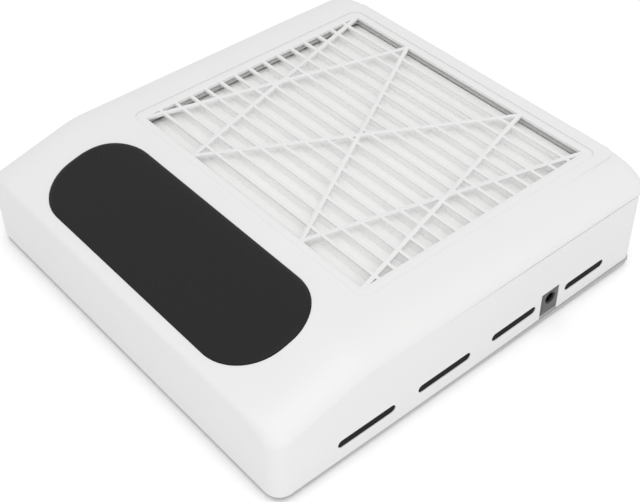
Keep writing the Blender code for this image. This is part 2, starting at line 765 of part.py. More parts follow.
def build_base_plate(material):
    """The flat bottom cover: rim, locating lip, bosses, foot pockets, posts and switch cradle."""
    width, depth = WIDTH - 2 * BASE_INSET, DEPTH - 2 * BASE_INSET
    radius = CORNER_RADIUS - BASE_INSET
    low = rounded_rectangle(width - 2 * BASE_CHAMFER, depth - 2 * BASE_CHAMFER, radius - BASE_CHAMFER)
    wide = rounded_rectangle(width, depth, radius)
    loops = [
        [(x, y, BASE_Z) for x, y in low],
        [(x, y, BASE_Z + BASE_CHAMFER) for x, y in wide],
        [(x, y, RIM_TOP) for x, y in wide],
    ]
    plate = loft("base_plate", loops, material)

    lip_inset = OVERHANG + WALL + SEAT_GAP
    lip_radius = CORNER_RADIUS
    lip = prism(
        "lip",
        rounded_rectangle(WIDTH - 2 * lip_inset, DEPTH - 2 * (WALL + SEAT_GAP), lip_radius),
        BASE_Z + BASE_CHAMFER,
        RIM_TOP + LIP_HEIGHT,
    )
    fuse(plate, lip)
    tray_inset = lip_inset + LIP_WALL
    hollow = prism(
        "hollow",
        rounded_rectangle(
            WIDTH - 2 * tray_inset, DEPTH - 2 * (WALL + SEAT_GAP + LIP_WALL), lip_radius - LIP_WALL
        ),
        FLOOR_TOP,
        RIM_TOP + LIP_HEIGHT + OVERRUN,
    )
    cut(plate, hollow)

    root = FLOOR_TOP - BASE_FLOOR / 2
    raised = []
    for x, y in post_places():
        top = FLOOR_TOP + BASE_BOSS_HEIGHT
        raised.append(cylinder("boss", BASE_BOSS_RADIUS, root, top, SMALL_FACETS, centre=(x, y)))
    for x, y in fan_deck_post_places():
        top = FAN_DECK_BOTTOM - SEAT_GAP
        raised.append(cylinder("deck_post", DECK_POST_RADIUS, root, top, SMALL_FACETS, centre=(x, y)))
    for x, y in board_post_places():
        top = FLOOR_TOP + BOARD_POST
        raised.append(
            cylinder("board_post", BOARD_POST_RADIUS, root, top, SMALL_FACETS, centre=(x, y))
        )
    motor_top = FLOOR_TOP + MOTOR_BOSS_HEIGHT
    raised.append(
        cylinder("motor_boss", MOTOR_BOSS_RADIUS, root, motor_top, ROUND_FACETS, centre=(0.0, CARTRIDGE_Y))
    )
    cradle_half = SWITCH_SIDE / 2 + SEAT_GAP
    cradle_end = SWITCH_X + SWITCH_LENGTH + SEAT_GAP
    cradle = block(
        "cradle",
        (SWITCH_X + SWITCH_LENGTH / 4, SOCKET_Y - cradle_half - CRADLE_WALL, root),
        (
            cradle_end + CRADLE_WALL,
            SOCKET_Y + cradle_half + CRADLE_WALL,
            BUTTON_Z - SWITCH_SIDE / 2 + CRADLE_GRIP_SHARE * SWITCH_SIDE,
        ),
    )
    raised.append(cradle)
    tongue_half = SOCKET_BREADTH / 2
    raised.append(
        block(
            "tongue",
            (SIDE_INNER_X - LIP_WALL, SOCKET_Y - tongue_half, BASE_Z + BASE_CHAMFER),
            (WIDTH / 2 - OVERHANG, SOCKET_Y + tongue_half, SOCKET_BOTTOM - SEAT_GAP),
        )
    )
    fuse(plate, *raised)

    cutters = [
        block(
            "switch_seat",
            (SWITCH_X, SOCKET_Y - cradle_half, BUTTON_Z - SWITCH_SIDE / 2 - SEAT_GAP),
            (cradle_end, SOCKET_Y + cradle_half, BUTTON_Z + SWITCH_SIDE),
        ),
        block(
            "lead_gate",
            (cradle_end - OVERRUN, SOCKET_Y - 2 * LEAD_RADIUS, BUTTON_Z - SWITCH_SIDE / 2 - SEAT_GAP),
            (cradle_end + OVERRUN, SOCKET_Y + 2 * LEAD_RADIUS, BUTTON_Z + SWITCH_SIDE),
        ),
        block(
            "socket_gate",
            (
                SIDE_INNER_X - SEAT_GAP - LIP_WALL - OVERRUN,
                SOCKET_Y - SOCKET_BREADTH / 2 - SEAT_GAP,
                SOCKET_BOTTOM - SEAT_GAP,
            ),
            (WIDTH / 2, SOCKET_Y + SOCKET_BREADTH / 2 + SEAT_GAP, RIM_TOP + LIP_HEIGHT + OVERRUN),
        ),
        block(
            "button_gate",
            (
                -WIDTH / 2,
                SOCKET_Y - BUTTON_RADIUS - BUTTON_FLANGE - SLIDE_GAP,
                RIM_TOP,
            ),
            (
                SWITCH_X,
                SOCKET_Y + BUTTON_RADIUS + BUTTON_FLANGE + SLIDE_GAP,
                RIM_TOP + LIP_HEIGHT + OVERRUN,
            ),
        ),
    ]
    for x, y in post_places():
        place = (x, y)
        sink = BASE_Z + SCREW_SINK + SCREW_HEAD_HEIGHT + SEAT_GAP
        head = SCREW_HEAD + SEAT_GAP
        shank = SCREW_SHANK + SEAT_GAP
        top = FLOOR_TOP + BASE_BOSS_HEIGHT + OVERRUN
        cutters.append(cylinder("sink", head, BASE_Z - OVERRUN, sink, SMALL_FACETS, centre=place))
        cutters.append(cylinder("through", shank, BASE_Z, top, SMALL_FACETS, centre=place))
    for x, y in foot_places():
        radius = FOOT_RADIUS + SEAT_GAP
        top = BASE_Z + FOOT_POCKET
        cutters.append(cylinder("pocket", radius, BASE_Z - OVERRUN, top, ROUND_FACETS, centre=(x, y)))
    for x, y in fan_deck_post_places():
        top = FAN_DECK_BOTTOM
        low = FAN_DECK_TOP - DECK_SCREW_LENGTH - 2 * SEAT_GAP
        hole = DECK_SCREW_SHANK + SEAT_GAP
        cutters.append(cylinder("pilot", hole, low, top, SMALL_FACETS, centre=(x, y)))
    for x, y in motor_screw_places():
        hole = MOTOR_SCREW_SHANK + SEAT_GAP
        low = BASE_Z + BASE_FLOOR / 2
        cutters.append(cylinder("pilot", hole, low, motor_top + OVERRUN, SMALL_FACETS, centre=(x, y)))
    for x, y in board_post_places():
        hole = BOARD_SCREW_SHANK + SEAT_GAP
        low = BASE_Z + BASE_FLOOR / 2
        cutters.append(cylinder("pilot", hole, low, BOARD_BOTTOM, SMALL_FACETS, centre=(x, y)))
    return cut(plate, *cutters)


def build_case_screws(material):
    """Six self-tapping screws driven up through the base plate."""
    length = FLOOR_TOP + BASE_BOSS_HEIGHT + SCREW_GRIP - BASE_Z - SCREW_SINK - SCREW_HEAD_HEIGHT
    head, shank = (SCREW_HEAD, SCREW_HEAD_HEIGHT), (SCREW_SHANK, length)
    screws("case_screw", post_places(), head, shank, BASE_Z + SCREW_SINK, material, up=True)


def build_feet(material):
    """Four domed rubber feet stuck in their pockets."""
    top = BASE_Z + FOOT_POCKET - SEAT_GAP
    round_over = FOOT_STAND / 2
    profile = [
        (0.0, 0.0),
        (FOOT_RADIUS - round_over, 0.0),
        (FOOT_RADIUS, round_over),
        (FOOT_RADIUS, top),
        (0.0, top),
    ]
    for i, place in enumerate(foot_places(), 1):
        turned(f"rubber_foot_{i}", profile, ROUND_FACETS, material, centre=place)


def build_hand_rest(material):
    """The stadium-shaped pad, bent with the slope and crowned towards its middle."""
    loops = pad_loops(0.0, -PAD_RECESS + SEAT_GAP, PAD_EDGE_PROUD, PAD_PROUD)
    return loft("hand_rest_pad", loops, material)


def grille_field():
    """Size of the open field inside the cartridge's rim."""
    return CARTRIDGE_WIDTH - 2 * RIM_SIDE_BREADTH, CARTRIDGE_DEPTH - 2 * RIM_END_BREADTH


def bar_between(start, end, breadth, low, high):
    """A straight bar between two points of the plan, with square ends past both."""
    along = Vector((end[0] - start[0], end[1] - start[1])).normalized()
    across = Vector((-along.y, along.x)) * breadth / 2
    a, b = Vector(start) - along * breadth, Vector(end) + along * breadth
    outline = [tuple(a - across), tuple(b - across), tuple(b + across), tuple(a + across)]
    return prism("bar", outline, low, high)


def build_filter_frame(material):
    """The cartridge's upper frame: rim, skirt, straight ribs and three crossed pairs of bars."""
    width, depth = grille_field()
    centre = (0.0, CARTRIDGE_Y)
    outline = rounded_rectangle(CARTRIDGE_WIDTH, CARTRIDGE_DEPTH, CARTRIDGE_CORNER, centre)
    frame = prism("filter_frame", outline, SKIRT_BOTTOM, CARTRIDGE_TOP, material)
    inner_radius = CARTRIDGE_CORNER - SKIRT_WALL
    skirt_inner = rounded_rectangle(
        CARTRIDGE_WIDTH - 2 * SKIRT_WALL, CARTRIDGE_DEPTH - 2 * SKIRT_WALL, inner_radius, centre
    )
    x0, x1 = -width / 2, width / 2
    y0, y1 = CARTRIDGE_Y - depth / 2, CARTRIDGE_Y + depth / 2
    cut(
        frame,
        prism("skirt_hollow", skirt_inner, SKIRT_BOTTOM - OVERRUN, GRILLE_BOTTOM),
        block("field", (x0, y0, GRILLE_BOTTOM - OVERRUN), (x1, y1, CARTRIDGE_TOP + OVERRUN)),
    )
    bars = []
    for i in range(1, GRILLE_GAPS):
        y = y0 + depth * i / GRILLE_GAPS
        low = (x0 - GRILLE_RIB, y - GRILLE_RIB / 2, GRILLE_BOTTOM)
        high = (x1 + GRILLE_RIB, y + GRILLE_RIB / 2, CARTRIDGE_TOP)
        bars.append(block("rib", low, high))
    left, right = x0 + GRILLE_SIDE_PANEL_SHARE * width, x1 - GRILLE_SIDE_PANEL_SHARE * width
    for a, b in ((x0, left), (left, right), (right, x1)):
        bars.append(bar_between((a, y0), (b, y1), GRILLE_DIAGONAL, GRILLE_BOTTOM, CARTRIDGE_TOP))
        bars.append(bar_between((b, y0), (a, y1), GRILLE_DIAGONAL, GRILLE_BOTTOM, CARTRIDGE_TOP))
    return fuse(frame, *bars)


def build_filter_gasket(material):
    """Foam strip between the rim and the pleated pack."""
    centre = (0.0, CARTRIDGE_Y)
    inset = SKIRT_WALL + SEAT_GAP
    radius = CARTRIDGE_CORNER - inset
    outer = rounded_rectangle(CARTRIDGE_WIDTH - 2 * inset, CARTRIDGE_DEPTH - 2 * inset, radius, centre)
    width, depth = grille_field()
    strip = prism("filter_gasket", outer, GASKET_BOTTOM, GASKET_TOP, material)
    hole = block(
        "hole",
        (-width / 2, CARTRIDGE_Y - depth / 2, GASKET_BOTTOM - OVERRUN),
        (width / 2, CARTRIDGE_Y + depth / 2, GASKET_TOP + OVERRUN),
    )
    return cut(strip, hole)


def build_filter_pleats(material):
    """Pleated paper: one zigzag sheet whose folds run from side to side, its corners inside the skirt's."""
    corner = (CARTRIDGE_CORNER - SKIRT_WALL) * (1 - math.cos(math.radians(45)))
    inset = SKIRT_WALL + corner + SEAT_GAP
    length = CARTRIDGE_DEPTH - 2 * inset
    start = CARTRIDGE_Y - length / 2
    upper = []
    for i in range(2 * PLEAT_COUNT + 1):
        z = PLEAT_TOP if i % 2 else PLEAT_BOTTOM + PLEAT_WALL
        upper.append((start + length * i / (2 * PLEAT_COUNT), z))
    lower = [(y, z - PLEAT_WALL) for y, z in reversed(upper)]
    half = CARTRIDGE_WIDTH / 2 - inset
    return prism("filter_pleats", upper + lower, -half, half, material, axis="X")


def build_filter_tray(material):
    """The cartridge's lower frame, a ring with cross bars under the paper."""
    centre = (0.0, CARTRIDGE_Y)
    top = CARTRIDGE_BOTTOM + TRAY_HEIGHT
    outline = rounded_rectangle(CARTRIDGE_WIDTH, CARTRIDGE_DEPTH, CARTRIDGE_CORNER, centre)
    tray = prism("filter_tray", outline, CARTRIDGE_BOTTOM, top, material)
    half_x = CARTRIDGE_WIDTH / 2 - TRAY_RING
    half_y = CARTRIDGE_DEPTH / 2 - TRAY_RING
    low = (-half_x, CARTRIDGE_Y - half_y, CARTRIDGE_BOTTOM - OVERRUN)
    high = (half_x, CARTRIDGE_Y + half_y, top + OVERRUN)
    cut(tray, block("window", low, high))
    bars = []
    for i in range(1, TRAY_BARS_ACROSS + 1):
        y = CARTRIDGE_Y - half_y + 2 * half_y * i / (TRAY_BARS_ACROSS + 1)
        bars.append(
            block(
                "bar",
                (-half_x - TRAY_BAR, y - TRAY_BAR / 2, CARTRIDGE_BOTTOM),
                (half_x + TRAY_BAR, y + TRAY_BAR / 2, top),
            )
        )
    for i in range(1, TRAY_BARS_ALONG + 1):
        x = -half_x + 2 * half_x * i / (TRAY_BARS_ALONG + 1)
        bars.append(
            block(
                "bar",
                (x - TRAY_BAR / 2, CARTRIDGE_Y - half_y - TRAY_BAR, CARTRIDGE_BOTTOM),
                (x + TRAY_BAR / 2, CARTRIDGE_Y + half_y + TRAY_BAR, top),
            )
        )
    return fuse(tray, *bars)


def build_fan_deck(material):
    """The partition under the well, with a flared inlet ring for the fan."""
    centre = (0.0, CARTRIDGE_Y)
    outline = rounded_rectangle(FAN_DECK_WIDTH, FAN_DECK_DEPTH, CARTRIDGE_CORNER, centre)
    plate = prism("fan_deck", outline, FAN_DECK_BOTTOM, FAN_DECK_TOP, material)
    flare = INLET_RADIUS + INLET_FLARE
    cut(
        plate,
        cylinder(
            "hole", flare, FAN_DECK_BOTTOM - OVERRUN, FAN_DECK_TOP + OVERRUN, FINE_FACETS, centre=centre
        ),
    )
    lip = FAN_DECK_BOTTOM - INLET_DEPTH
    profile = [
        (flare + INLET_WALL, FAN_DECK_TOP),
        (flare, FAN_DECK_TOP),
        (
            INLET_RADIUS + FLARE_KNEE_OUT_SHARE * INLET_FLARE,
            FAN_DECK_TOP - FLARE_KNEE_DOWN_SHARE * FAN_DECK_THICKNESS,
        ),
        (INLET_RADIUS, FAN_DECK_BOTTOM),
        (INLET_RADIUS, lip),
        (INLET_RADIUS + INLET_WALL, lip),
        (INLET_RADIUS + INLET_WALL, FAN_DECK_BOTTOM),
        (flare + INLET_WALL, FAN_DECK_BOTTOM),
    ]
    fuse(plate, turned("inlet", profile, FINE_FACETS, centre=centre))
    cutters = []
    for place in fan_deck_post_places():
        hole = DECK_SCREW_SHANK + SEAT_GAP
        low, high = FAN_DECK_BOTTOM - OVERRUN, FAN_DECK_TOP + OVERRUN
        cutters.append(cylinder("hole", hole, low, high, SMALL_FACETS, centre=place))
    for place in guard_ear_places(guard_ear_radius()):
        hole = MOTOR_SCREW_SHANK + SEAT_GAP
        low, high = FAN_DECK_BOTTOM - OVERRUN, FAN_DECK_TOP + OVERRUN
        cutters.append(cylinder("hole", hole, low, high, SMALL_FACETS, centre=place))
    return cut(plate, *cutters)


def guard_radius():
    """Outer radius of the guard's rim ring."""
    return INLET_RADIUS + INLET_FLARE + GUARD_MARGIN


def guard_ear_radius():
    """Distance of the guard's screws from the fan's axis."""
    return guard_radius() + GUARD_EAR_RADIUS / 2


def build_fan_guard(material):
    """Finger guard over the inlet: rings, spokes and three screw ears."""
    centre = (0.0, CARTRIDGE_Y)
    low = FAN_DECK_TOP + SEAT_GAP
    high = low + GUARD_THICKNESS
    outer = guard_radius()
    guard = None
    for i in range(GUARD_RINGS + 1):
        radius = GUARD_HUB + (outer - GUARD_HUB) * i / GUARD_RINGS
        profile = [
            (radius - GUARD_RING, low),
            (radius, low),
            (radius, high),
            (radius - GUARD_RING, high),
        ]
        facets = FINE_FACETS if i else ROUND_FACETS
        ring = turned("ring", profile, facets, centre=centre)
        guard = fuse(guard, ring) if guard else ring
    bars = []
    for i in range(GUARD_SPOKES):
        angle = math.tau * (i + 0.5) / GUARD_SPOKES
        inner = GUARD_HUB + GUARD_RING / 2
        start = (centre[0] + inner * math.cos(angle), centre[1] + inner * math.sin(angle))
        reach = outer - GUARD_RING - GUARD_RING / 2
        end = (centre[0] + reach * math.cos(angle), centre[1] + reach * math.sin(angle))
        bars.append(bar_between(start, end, GUARD_RING, low, high))
    ears = guard_ear_places(guard_ear_radius())
    bars += [cylinder("ear", GUARD_EAR_RADIUS, low, high, SMALL_FACETS, centre=p) for p in ears]
    fuse(guard, *bars)
    hole = MOTOR_SCREW_SHANK + SEAT_GAP
    cut(
        guard,
        *[cylinder("hole", hole, low - OVERRUN, high + OVERRUN, SMALL_FACETS, centre=p) for p in ears],
    )
    guard.name = "fan_guard"
    guard.data.materials.clear()
    guard.data.materials.append(material)
    return guard


def build_fan_screws(material):
    """Screws of the fan deck and of the guard, driven down from above."""
    head, shank = (DECK_SCREW_HEAD, DECK_SCREW_HEAD_HEIGHT), (DECK_SCREW_SHANK, DECK_SCREW_LENGTH)
    top = FAN_DECK_TOP + SEAT_GAP + DECK_SCREW_HEAD_HEIGHT
    screws("fan_deck_screw", fan_deck_post_places(), head, shank, top, material)
    head = (MOTOR_SCREW_HEAD, MOTOR_SCREW_SHANK)
    shank = (MOTOR_SCREW_SHANK, GUARD_THICKNESS + FAN_DECK_THICKNESS)
    top = FAN_DECK_TOP + 2 * SEAT_GAP + GUARD_THICKNESS + MOTOR_SCREW_SHANK
    screws("guard_screw", guard_ear_places(guard_ear_radius()), head, shank, top, material)


def blade_outline(index):
    """Plan outline of one backward-curved blade, as an arc of even thickness."""
    inner = IMPELLER_RADIUS * BLADE_INNER_SHARE
    outer = IMPELLER_RADIUS - BLADE_WALL
    sweep = math.radians(BLADE_SWEEP_DEGREES)
    start = math.tau * index / BLADE_COUNT
    spine = []
    for i in range(BLADE_STEPS + 1):
        share = i / BLADE_STEPS
        radius = inner + (outer - inner) * share
        angle = start - sweep * share**BLADE_CURVE_POWER
        spine.append(Vector((radius * math.cos(angle), radius * math.sin(angle))))
    left, right = [], []
    for i, point in enumerate(spine):
        ahead = spine[min(i + 1, BLADE_STEPS)] - spine[max(i - 1, 0)]
        normal = Vector((-ahead.y, ahead.x)).normalized() * BLADE_WALL / 2
        left.append(point + normal)
        right.append(point - normal)
    return [(p.x, CARTRIDGE_Y + p.y) for p in left + right[::-1]]


def build_impeller(material):
    """Open centrifugal wheel: hub over the rotor cup, back plate and curved blades."""
    centre = (0.0, CARTRIDGE_Y)
    hub_inner = HUB_RADIUS - HUB_WALL
    cap_under = CUP_TOP + SEAT_GAP
    bore = SHAFT_RADIUS + SEAT_GAP
    plate_top = IMPELLER_BOTTOM + IMPELLER_PLATE
    profile = [
        (hub_inner, IMPELLER_BOTTOM),
        (IMPELLER_RADIUS, IMPELLER_BOTTOM),
        (IMPELLER_RADIUS, plate_top),
        (HUB_RADIUS + HUB_WALL, plate_top),
        (HUB_RADIUS, plate_top + 2 * HUB_WALL),
        (HUB_RADIUS, HUB_TOP - HUB_WALL),
        (HUB_RADIUS - HUB_WALL, HUB_TOP),
        (bore, HUB_TOP),
        (bore, cap_under),
        (hub_inner, cap_under),
    ]
    wheel = turned("impeller", profile, FINE_FACETS, material, centre=centre)
    root = IMPELLER_BOTTOM + IMPELLER_PLATE / 2
    blades = [prism("blade", blade_outline(i), root, BLADE_TOP) for i in range(BLADE_COUNT)]
    return fuse(wheel, *blades)


def ring_piece(name, inner, outer, low, high, facets, material=None):
    """A plain ring about the fan's axis."""
    profile = [(inner, low), (outer, low), (outer, high), (inner, high)]
    return turned(name, profile, facets, material, centre=(0.0, CARTRIDGE_Y))


def build_motor(plate_metal, steel, dark_steel, copper, black):
    """Outrunner motor: fixed plate, bearings, stator and coils; turning cup, magnet, shaft and nut."""
    centre = (0.0, CARTRIDGE_Y)
    tube_inner = BEARING_TUBE_RADIUS - BEARING_TUBE_WALL
    profile = [
        (tube_inner, MOTOR_PLATE_BOTTOM),
        (MOTOR_PLATE_RADIUS, MOTOR_PLATE_BOTTOM),
        (MOTOR_PLATE_RADIUS, MOTOR_PLATE_TOP),
        (BEARING_TUBE_RADIUS, MOTOR_PLATE_TOP),
        (BEARING_TUBE_RADIUS, BEARING_TUBE_TOP),
        (tube_inner, BEARING_TUBE_TOP),
    ]
    plate = turned("motor_plate", profile, ROUND_FACETS, plate_metal, centre=centre)
    hole = MOTOR_SCREW_SHANK + SEAT_GAP
    low, high = MOTOR_PLATE_BOTTOM - OVERRUN, MOTOR_PLATE_TOP + OVERRUN
    holes = [cylinder("hole", hole, low, high, SMALL_FACETS, centre=p) for p in motor_screw_places()]
    cut(plate, *holes)
    head = (MOTOR_SCREW_HEAD, MOTOR_SCREW_SHANK)
    shank = (MOTOR_SCREW_SHANK, MOTOR_PLATE_THICKNESS + MOTOR_BOSS_HEIGHT)
    top = MOTOR_PLATE_TOP + SEAT_GAP + MOTOR_SCREW_SHANK
    screws("motor_screw", motor_screw_places(), head, shank, top, steel)

    core = ring_piece(
        "stator_core",
        BEARING_TUBE_RADIUS + SEAT_GAP,
        STATOR_CORE_RADIUS,
        STATOR_BOTTOM,
        STATOR_TOP,
        ROUND_FACETS,
        dark_steel,
    )
    poles, coils = [], []
    tip_inner = STATOR_RADIUS - POLE_TIP
    for i in range(STATOR_POLES):
        angle = math.tau * i / STATOR_POLES
        ray = Vector((math.cos(angle), math.sin(angle)))
        start = Vector(centre) + ray * (STATOR_CORE_RADIUS - POLE_TIP / 2 + POLE_BREADTH)
        end = Vector(centre) + ray * (STATOR_RADIUS - POLE_TIP / 2 - POLE_BREADTH)
        poles.append(bar_between(start, end, POLE_BREADTH, STATOR_BOTTOM, STATOR_TOP))
        spread = POLE_SPREAD_SHARE * math.tau / STATOR_POLES
        arc = [angle - spread + 2 * spread * k / FILLET_STEPS for k in range(FILLET_STEPS + 1)]
        rim = [Vector((math.cos(a), math.sin(a))) for a in arc]
        outer = [tuple(Vector(centre) + STATOR_RADIUS * p) for p in rim]
        inner = [tuple(Vector(centre) + tip_inner * p) for p in reversed(rim)]
        poles.append(prism("tip", outer + inner, STATOR_BOTTOM, STATOR_TOP))
        coils.append(coil_block(centre, ray, tip_inner))
    fuse(core, *poles)
    collar_outer = STATOR_CORE_RADIUS + POLE_TIP
    collar_low = STATOR_TOP + SEAT_GAP
    collar = ring_piece(
        "stator_windings",
        BEARING_TUBE_RADIUS + SEAT_GAP,
        collar_outer,
        collar_low,
        collar_low + COLLAR_SHARE * COIL_WALL,
        ROUND_FACETS,
        copper,
    )
    fuse(collar, *coils)

    bearing_inner = SHAFT_RADIUS + SEAT_GAP
    bearing_outer = tube_inner - SEAT_GAP
    lower = MOTOR_PLATE_BOTTOM + SEAT_GAP
    upper = BEARING_TUBE_TOP - BEARING_HEIGHT
    for name, z in (("lower_bearing", lower), ("upper_bearing", upper)):
        ring_piece(name, bearing_inner, bearing_outer, z, z + BEARING_HEIGHT, ROUND_FACETS, steel)

    magnet = ring_piece(
        "magnet_ring",
        MAGNET_INNER,
        MAGNET_INNER + MAGNET_WALL,
        STATOR_BOTTOM,
        STATOR_TOP,
        FINE_FACETS,
        black,
    )
    cup_profile = [
        (ROTOR_INNER, STATOR_BOTTOM - ROTOR_WALL),
        (ROTOR_RADIUS, STATOR_BOTTOM - ROTOR_WALL),
        (ROTOR_RADIUS, CUP_TOP),
        (SHAFT_RADIUS + SEAT_GAP, CUP_TOP),
        (SHAFT_RADIUS + SEAT_GAP, CUP_UNDER),
        (ROTOR_INNER, CUP_UNDER),
    ]
    cup = turned("rotor_cup", cup_profile, FINE_FACETS, steel, centre=centre)
    shaft_low = MOTOR_PLATE_BOTTOM + SEAT_GAP
    nut_low = HUB_TOP + SEAT_GAP
    shaft_high = nut_low + NUT_HEIGHT
    shaft = cylinder("motor_shaft", SHAFT_RADIUS, shaft_low, shaft_high, ROUND_FACETS, steel, centre=centre)
    clip_low = BEARING_TUBE_TOP + SEAT_GAP
    clip = ring_piece(
        "shaft_clip",
        SHAFT_RADIUS + SEAT_GAP,
        SHAFT_RADIUS + SEAT_GAP + CLIP_WALL,
        clip_low,
        clip_low + CLIP_HEIGHT,
        SMALL_FACETS,
        dark_steel,
    )
    nut = prism("impeller_nut", circle(NUT_RADIUS, 6, centre), nut_low, nut_low + NUT_HEIGHT, steel)
    low, high = nut_low - OVERRUN, nut_low + NUT_HEIGHT + OVERRUN
    cut(nut, cylinder("bore", SHAFT_RADIUS + SEAT_GAP, low, high, SMALL_FACETS, centre=centre))
    return [magnet, cup, shaft, clip, nut]


def ray_box(centre, ray, half, near, far):
    """Rectangle in plan that lies along a ray from the fan's axis."""
    across = Vector((-ray.y, ray.x))
    corners = ((near, -half), (far, -half), (far, half), (near, half))
    return [tuple(Vector(centre) + ray * u + across * v) for u, v in corners]


def coil_block(centre, ray, tip_inner):
    """One coil: a rectangular sleeve round a pole, with its own clearance."""
    outer_half = POLE_BREADTH / 2 + SEAT_GAP + COIL_WALL
    start = STATOR_CORE_RADIUS + SEAT_GAP
    end = math.sqrt((tip_inner - SEAT_GAP) ** 2 - outer_half**2) - SEAT_GAP
    inner_half = POLE_BREADTH / 2 + SEAT_GAP
    outline = ray_box(centre, ray, outer_half, start, end)
    body = prism("coil", outline, STATOR_BOTTOM - COIL_WALL, STATOR_TOP + COIL_WALL)
    hole = prism(
        "hole",
        ray_box(centre, ray, inner_half, start - OVERRUN, end + OVERRUN),
        STATOR_BOTTOM - SEAT_GAP,
        STATOR_TOP + SEAT_GAP,
    )
    return cut(body, hole)


def build_board(board_green, black, cream, steel):
    """Control board on its posts, with its capacitor, driver chip, lead plugs and screws."""
    low = (BOARD_X - BOARD_LENGTH / 2, SOCKET_Y - BOARD_BREADTH / 2, BOARD_BOTTOM)
    high = (BOARD_X + BOARD_LENGTH / 2, SOCKET_Y + BOARD_BREADTH / 2, BOARD_TOP)
    board = block("control_board", low, high, board_green)
    hole = BOARD_SCREW_SHANK + SEAT_GAP
    holes = [
        cylinder("hole", hole, BOARD_BOTTOM - OVERRUN, BOARD_TOP + OVERRUN, SMALL_FACETS, centre=p)
        for p in board_post_places()
    ]
    cut(board, *holes)
    seat = BOARD_TOP + SEAT_GAP
    head = (BOARD_SCREW_HEAD, BOARD_SCREW_SHANK)
    shank = (BOARD_SCREW_SHANK, BOARD_THICKNESS + BOARD_POST)
    screws("board_screw", board_post_places(), head, shank, seat + BOARD_SCREW_SHANK, steel)
    capacitor_place = (BOARD_X, SOCKET_Y + BOARD_BREADTH / 2 - CAPACITOR_RADIUS - BOARD_THICKNESS)
    profile = [
        (0.0, seat),
        (CAPACITOR_RADIUS, seat),
        (CAPACITOR_RADIUS, seat + CAPACITOR_HEIGHT - CAPACITOR_ROUND),
        (CAPACITOR_RADIUS - CAPACITOR_ROUND, seat + CAPACITOR_HEIGHT),
        (0.0, seat + CAPACITOR_HEIGHT),
    ]
    turned("smoothing_capacitor", profile, ROUND_FACETS, black, centre=capacitor_place)
    chip_y = SOCKET_Y - BOARD_BREADTH / 2 + CHIP_BREADTH
    block(
        "driver_chip",
        (BOARD_X - CHIP_LENGTH / 2, chip_y - CHIP_BREADTH / 2, seat),
        (BOARD_X + CHIP_LENGTH / 2, chip_y + CHIP_BREADTH / 2, seat + CHIP_HEIGHT),
        black,
    )
    for name, place in zip(("motor_lead_plug", "switch_lead_plug"), plug_places()):
        block(
            name,
            (place[0] - PLUG_BREADTH / 2, place[1] - PLUG_LENGTH / 2, seat),
            (place[0] + PLUG_BREADTH / 2, place[1] + PLUG_LENGTH / 2, seat + PLUG_HEIGHT),
            cream,
        )


def plug_places():
    """Plan positions of the two lead plugs on the board: motor first, then switch."""
    x = BOARD_X - BOARD_LENGTH / 2 + PLUG_BREADTH / 2 + BOARD_THICKNESS
    half = (PLUG_LENGTH + PLUG_SPACING) / 2
    return [(x, SOCKET_Y - half), (x, SOCKET_Y + half)]


def build_socket(dark_grey, brass):
    """Barrel power socket on the board, with its centre pin."""
    low = (SOCKET_FACE_X - SOCKET_LENGTH, SOCKET_Y - SOCKET_BREADTH / 2, SOCKET_BOTTOM)
    high = (SOCKET_FACE_X, SOCKET_Y + SOCKET_BREADTH / 2, SOCKET_BOTTOM + SOCKET_HEIGHT)
    body = block("power_socket", low, high, dark_grey)
    axis = (SOCKET_Y, SOCKET_BOTTOM + SOCKET_BORE_RISE)
    floor = SOCKET_FACE_X - SOCKET_BORE_DEPTH
    bore = prism("bore", circle(SOCKET_BORE, ROUND_FACETS, axis), floor, SOCKET_FACE_X + OVERRUN, axis="X")
    seat = prism(
        "pin_seat",
        circle(SOCKET_PIN + SEAT_GAP, SMALL_FACETS, axis),
        floor - SOCKET_PIN_ROOT,
        floor + OVERRUN,
        axis="X",
    )
    cut(body, bore, seat)
    pin = prism(
        "socket_pin",
        circle(SOCKET_PIN, SMALL_FACETS, axis),
        floor - SOCKET_PIN_ROOT + SEAT_GAP,
        SOCKET_FACE_X - SOCKET_PIN_RECESS,
        brass,
        axis="X",
    )
    return body, pin


def build_switch(cap_material, black):
    """Power button, its plunger and the latching switch that holds them."""
    axis = (SOCKET_Y, BUTTON_Z)
    rim = circle(BUTTON_RADIUS, ROUND_FACETS, axis)
    cap = prism("power_button", rim, BUTTON_FACE_X, FLANGE_X, cap_material, axis="X")
    flange = prism(
        "flange",
        circle(BUTTON_RADIUS + BUTTON_FLANGE, ROUND_FACETS, axis),
        FLANGE_X,
        FLANGE_X + BUTTON_FLANGE_THICKNESS,
        axis="X",
    )
    fuse(cap, flange)
    half = PLUNGER_SIDE / 2
    plunger = block(
        "switch_plunger",
        (PLUNGER_X, SOCKET_Y - half, BUTTON_Z - half),
        (SWITCH_X + PLUNGER_ENGAGE, SOCKET_Y + half, BUTTON_Z + half),
        black,
    )
    side = SWITCH_SIDE / 2
    body = block(
        "power_switch",
        (SWITCH_X, SOCKET_Y - side, BUTTON_Z - side),
        (SWITCH_X + SWITCH_LENGTH, SOCKET_Y + side, BUTTON_Z + side),
        black,
    )
    room = half + SEAT_GAP
    hollow = block(
        "hollow",
        (SWITCH_X - OVERRUN, SOCKET_Y - room, BUTTON_Z - room),
        (
            SWITCH_X + PLUNGER_ENGAGE + BUTTON_TRAVEL + SLIDE_GAP,
            SOCKET_Y + room,
            BUTTON_Z + room,
        ),
    )
    cut(body, hollow)
    return [cap, plunger]


